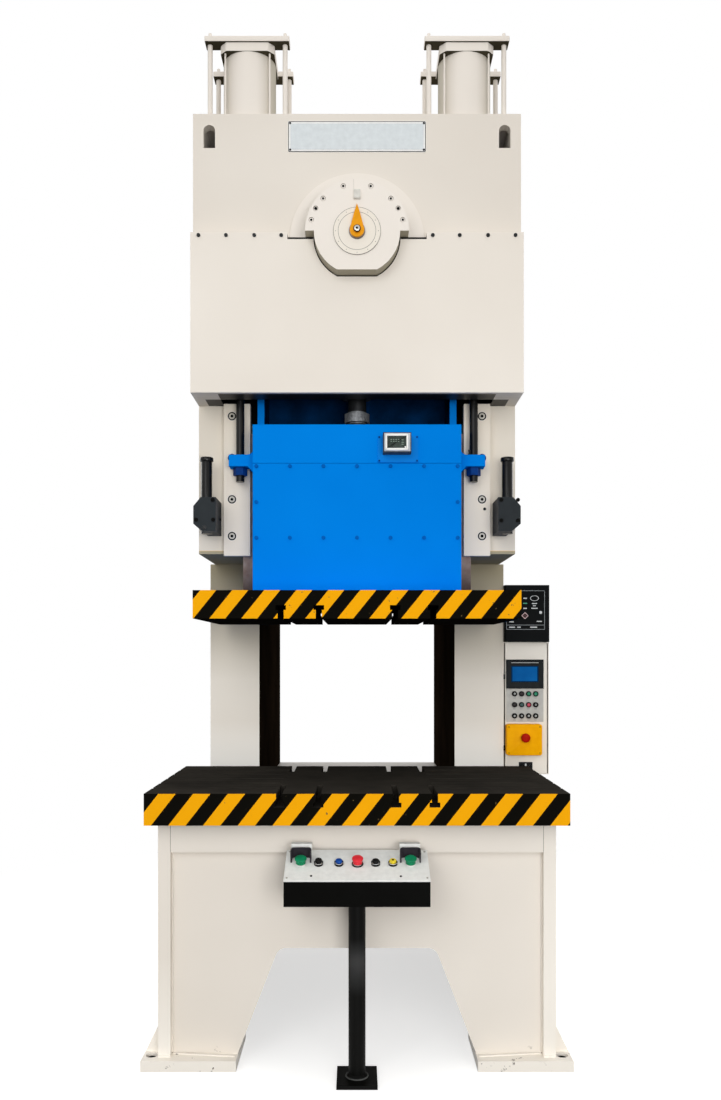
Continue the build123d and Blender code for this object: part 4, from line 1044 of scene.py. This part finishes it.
def controller_print():
    """Generic marks on the controller: an outline, dashes, a small key and an oval."""
    outline = [(0.737, z, 0.168, 0.002) for z in (1.769, 1.619, 1.600)]
    outline += [(x, 1.6845, 0.002, 0.169) for x in (0.654, 0.820)]
    grey = moulded("grey_line_print", "84898B", "9DA2A4", 0.5)
    marks("controller_outline", CONTROLLER, outline, grey, "panel_grey")
    dashes = [(x, z, 0.016, 0.005) for x in (0.706, 0.735) for z in (1.736, 1.692)]
    dashes += [(0.776, 1.713, 0.022, 0.004), (0.776, 1.703, 0.012, 0.004), (0.776, 1.692, 0.028, 0.004)]
    dashes += [(0.676, 1.633, 0.020, 0.004), (0.797, 1.635, 0.022, 0.004), (0.678, 1.6095, 0.026, 0.005)]
    dashes += [(0.708, 1.6095, 0.016, 0.005), (0.772, 1.6095, 0.030, 0.005), (0.803, 1.674, 0.012, 0.012)]
    marks("controller_marks", CONTROLLER, dashes, PALE_PRINT, "panel_grey")
    dashes = [(0.735, 1.714, 0.018, 0.005), (0.706, 1.714, 0.012, 0.005)]
    green = moulded("green_print", "3E8F6F", "57B08D", 0.5)
    marks("controller_green_marks", CONTROLLER, dashes, green, "green_plastic")
    diamond = rounded_plate("controller_key", (-0.011, -0.0015, -0.011), (0.011, 0, 0.011), 0.002)
    pick(diamond, looks(FRONT))
    bpy.ops.mesh.inset(thickness=0.0025)
    rose = moulded("rose_print", "D8B4B4", "E8CCCC", 0.4)
    paint_picked(diamond, rose, moulded("dark_key", "33191C", "4A2428", 0.4))
    diamond.rotation_euler = (0, math.pi / 4, 0)
    diamond.location = (0.7345, CONTROLLER, 1.660)
    done(settle(diamond), "red_plastic")
    oval = tube("controller_oval", ORIGIN, FRONT, 0.019, 0.0028, 0.0008, 40)
    oval.scale = (1, 1, 0.62)
    oval.location = (0.776, CONTROLLER, 1.736)
    done(settle(oval), "panel_grey", PALE_PRINT)


# Console. Its pieces are made flat at the origin and then laid onto the sloped panel.


def on_panel(piece):
    piece.location = PANEL_EDGE
    piece.rotation_euler = (PANEL_RISE, 0, 0)
    return settle(piece)


def console_button(node, body, x, radius, skirt, foot, top, slot):
    """A button's cap and stem. A large one has a skirt that slides down outside the fixed collar."""
    spot = (x, CONTROL_ROW)
    parts = [
        soften(bar(node + "_cap", (*spot, foot), UP, radius, top - foot, 48), 0.0026, 3),
        soften(bar("stem", (*spot, -0.012), UP, 0.0075, foot + 0.013, 24)),
    ]
    if skirt:
        parts.append(soften(tube("skirt", (*spot, 0.0095), UP, skirt, skirt - 0.0152, foot - 0.0090, 40)))
    if body in ("selector", "key"):
        low = (x - 0.0012, CONTROL_ROW - 0.008, top - 0.001)
        high = (x + 0.0012, CONTROL_ROW + 0.008, top + 0.0006)
        parts.append(soften(block("ridge", low, high)))
    for part in parts:
        part.data.materials.append(FINISHES[node])
    if body == "key":
        hole = soften(bar("keyhole", (*spot, top - 0.001), UP, 0.0042, 0.0018, 20))
        hole.data.materials.append(BLACK)
        parts.append(hole)
    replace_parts(done(on_panel(together(node + "_cap", *parts)), slot, None, body), node)


def spread_on_panel(piece, spots, slot, material=None, lift=0):
    places = [(x, y, PANEL_SKIN + lift) for x, y in spots]
    done(on_panel(copies(piece, places)), slot, material)


def console_fittings():
    """The switches' collars and rings, the buttons, and the panel's screws, lip and weld."""
    small = [(x, CONTROL_ROW) for x in (-0.134, -0.063, 0.065, 0.125)]
    collar = tube("switch_collars", ORIGIN, UP, 0.0158, 0.0024, 0.0080)
    spread_on_panel(soften(collar, 0.0012), small, "black_plastic", BLACK_ABS)
    chrome = turned_steel("bright_chrome", "C8CACC", "E6E7E8", 0.12)
    ring = tube("switch_rings", ORIGIN, UP, 0.0162, 0.0028, 0.0022)
    spread_on_panel(soften(ring, 0.0006), small, "zinc_steel", chrome, 0.0083)
    base = tube("stop_switch_collar", (0.002, CONTROL_ROW, PANEL_SKIN), UP, 0.0205, 0.0035, 0.0045)
    done(on_panel(soften(base, 0.0012)), "black_plastic", BLACK_ABS)
    for button in (
        ("left_palm_button", "left_palm", -0.196, 0.0208, 0.0174, 0.0225, 0.029, "green_plastic"),
        ("right_palm_button", "right_palm", 0.187, 0.0208, 0.0174, 0.0225, 0.029, "green_plastic"),
        ("red_stop_button", "red_stop", 0.002, 0.0196, 0.0165, 0.0225, 0.030, "red_plastic"),
        ("blue_button", "blue_push", -0.063, 0.0120, None, 0.012, 0.0215, "blue_plastic"),
        ("black_button", "black_push", 0.065, 0.0120, None, 0.012, 0.0215, "black_plastic"),
        ("mode_selector", "selector", -0.134, 0.0118, None, 0.012, 0.0240, "black_plastic"),
        ("key_switch", "key", 0.125, 0.0122, None, 0.012, 0.0215, "yellow_plastic"),
    ):
        console_button(*button)
    screw = socket_screw("panel_screws", UP, 0.0038, 0.0025, BLACK)
    spread_on_panel(screw, [(-0.157, 0.023), (0.150, 0.021)], "black_oxide")
    corner = socket_screw("corner_screws", UP, 0.0034, 0.002, ZINC, 0.5, ZINC)
    corners = [(x, y) for x in (-0.240, 0.240) for y in (0.012, 0.168)]
    spread_on_panel(corner, corners, "zinc_steel")
    lip = block("panel_lip", (-0.2505, -0.5311, 0.7165), (0.2505, -0.5299, 0.7225))
    done(soften(lip, 0.0004), "panel_grey", FINISHES["console_panel"])
    # Painted highlight: a grey ring round the post's foot, along the weld.
    weld = tube("post_weld", (0, -0.430, 0.0135), UP, 0.041, 0.006, 0.004, 40)
    done(soften(weld, 0.0016), "black_paint", coat("weld_painted_highlight", "3A3B3A", "5C5D5B", 0.35))


# Base, guard and motor


def base_welds():
    """The painted seams that join posts and panel to the foot plates and the rail."""
    seams = [((-0.668, -0.3025, 0.7755), (0.668, -0.3025, 0.7755), 0.004)]
    for (x, y, z), (end_x, end_y, end_z), radius in (
        ((0.440, -0.3305, 0.040), (0.668, -0.3035, 0.040), 0.004),
        ((0.672, -0.334, 0.040), (0.716, -0.334, 0.040), 0.005),
        ((0.671, -0.3025, 0.045), (0.671, -0.3025, 0.770), 0.004),
    ):
        seams += [((side * x, y, z), (side * end_x, end_y, end_z), radius) for side in (-1, 1)]
    beads = [weld_bead("base_welds", *seam) for seam in seams]
    done(together("base_welds", *beads), "cream_paint", CREAM_WORN_PAINTED_LIGHT)


def base_seams():
    """Dark lines painted as the shadow in the joints where posts, rail and panel of the base meet."""
    seams = [block("base_seams", (-0.673, -0.3026, 0.7732), (0.673, -0.302, 0.776))]
    for side in (-1, 1):
        inner, outer = sorted((side * 0.6702, side * 0.673))
        seams.append(block("base_seams", (inner, -0.3026, 0.040), (outer, -0.302, 0.7732)))
        inner, outer = sorted((side * 0.6722, side * 0.6736))
        seams.append(block("base_seams", (inner, -0.3324, 0.776), (outer, -0.332, 0.888)))
    seam_shade = coat("seam_shadow_paint", "6A6257", "7C7468", 0.7)
    done(soften(together("base_seams", *seams), 0.0002), "cream_paint", seam_shade)


def anchor_bolts():
    """A foundation stud in each anchor hole."""
    places = [(x, y, 0.006) for x in (-0.743, 0.743) for y in (-0.315, 1.556)]
    stud = bar("anchor_studs", ORIGIN, UP, 0.017, 0.024, 24)
    spread(soften(stud, 0.003), places, "cast_iron", BLACK)


def guard_screws():
    """The screws all round the belt guard's side wall."""
    spots = [(2.612, 0.490, angle) for angle in range(150, 391, 30)]
    spots += [(MOTOR_Z, 0.165, angle) for angle in (40, 90, 140)]
    made = []
    for middle, radius, angle in spots:
        out = Vector((math.cos(math.radians(angle)), 0, math.sin(math.radians(angle))))
        screw = socket_screw("guard_screws", out, 0.009, 0.006, ZINC)
        screw.location = Vector((0, GUARD_MIDDLE_Y, middle)) + out * radius
        made.append(settle(screw))
    done(together("guard_screws", *made), "zinc_steel")


def motor_trim():
    """The motor's fan grille, and the four screws of its terminal box."""
    low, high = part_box("main_motor")
    fan = (0, low[1], MOTOR_Z)
    rings = [tube("fan_grille", fan, FRONT, reach, 0.007, 0.003, 48) for reach in (0.160, 0.130, 0.100, 0.070)]
    hub = bar("fan_grille", fan, FRONT, 0.035, 0.004)
    done(soften(together("fan_grille", hub, *rings), 0.0008), "black_plastic", BLACK)
    screw = socket_screw("terminal_box_screws", UP, 0.006, 0.005, ZINC)
    spread(screw, [(x, y, high[2]) for x in (-0.063, 0.063) for y in (1.212, 1.348)], "zinc_steel")


stage()
nameplate()
ram_display()
ram_fittings()
clamp_screws()
bearing_trim()
pointer_bolt()
balance_cylinders()
screen_and_keypad()
stop_box()
ports_and_latches()
controller_print()
console_fittings()
base_welds()
base_seams()
anchor_bolts()
guard_screws()
motor_trim()
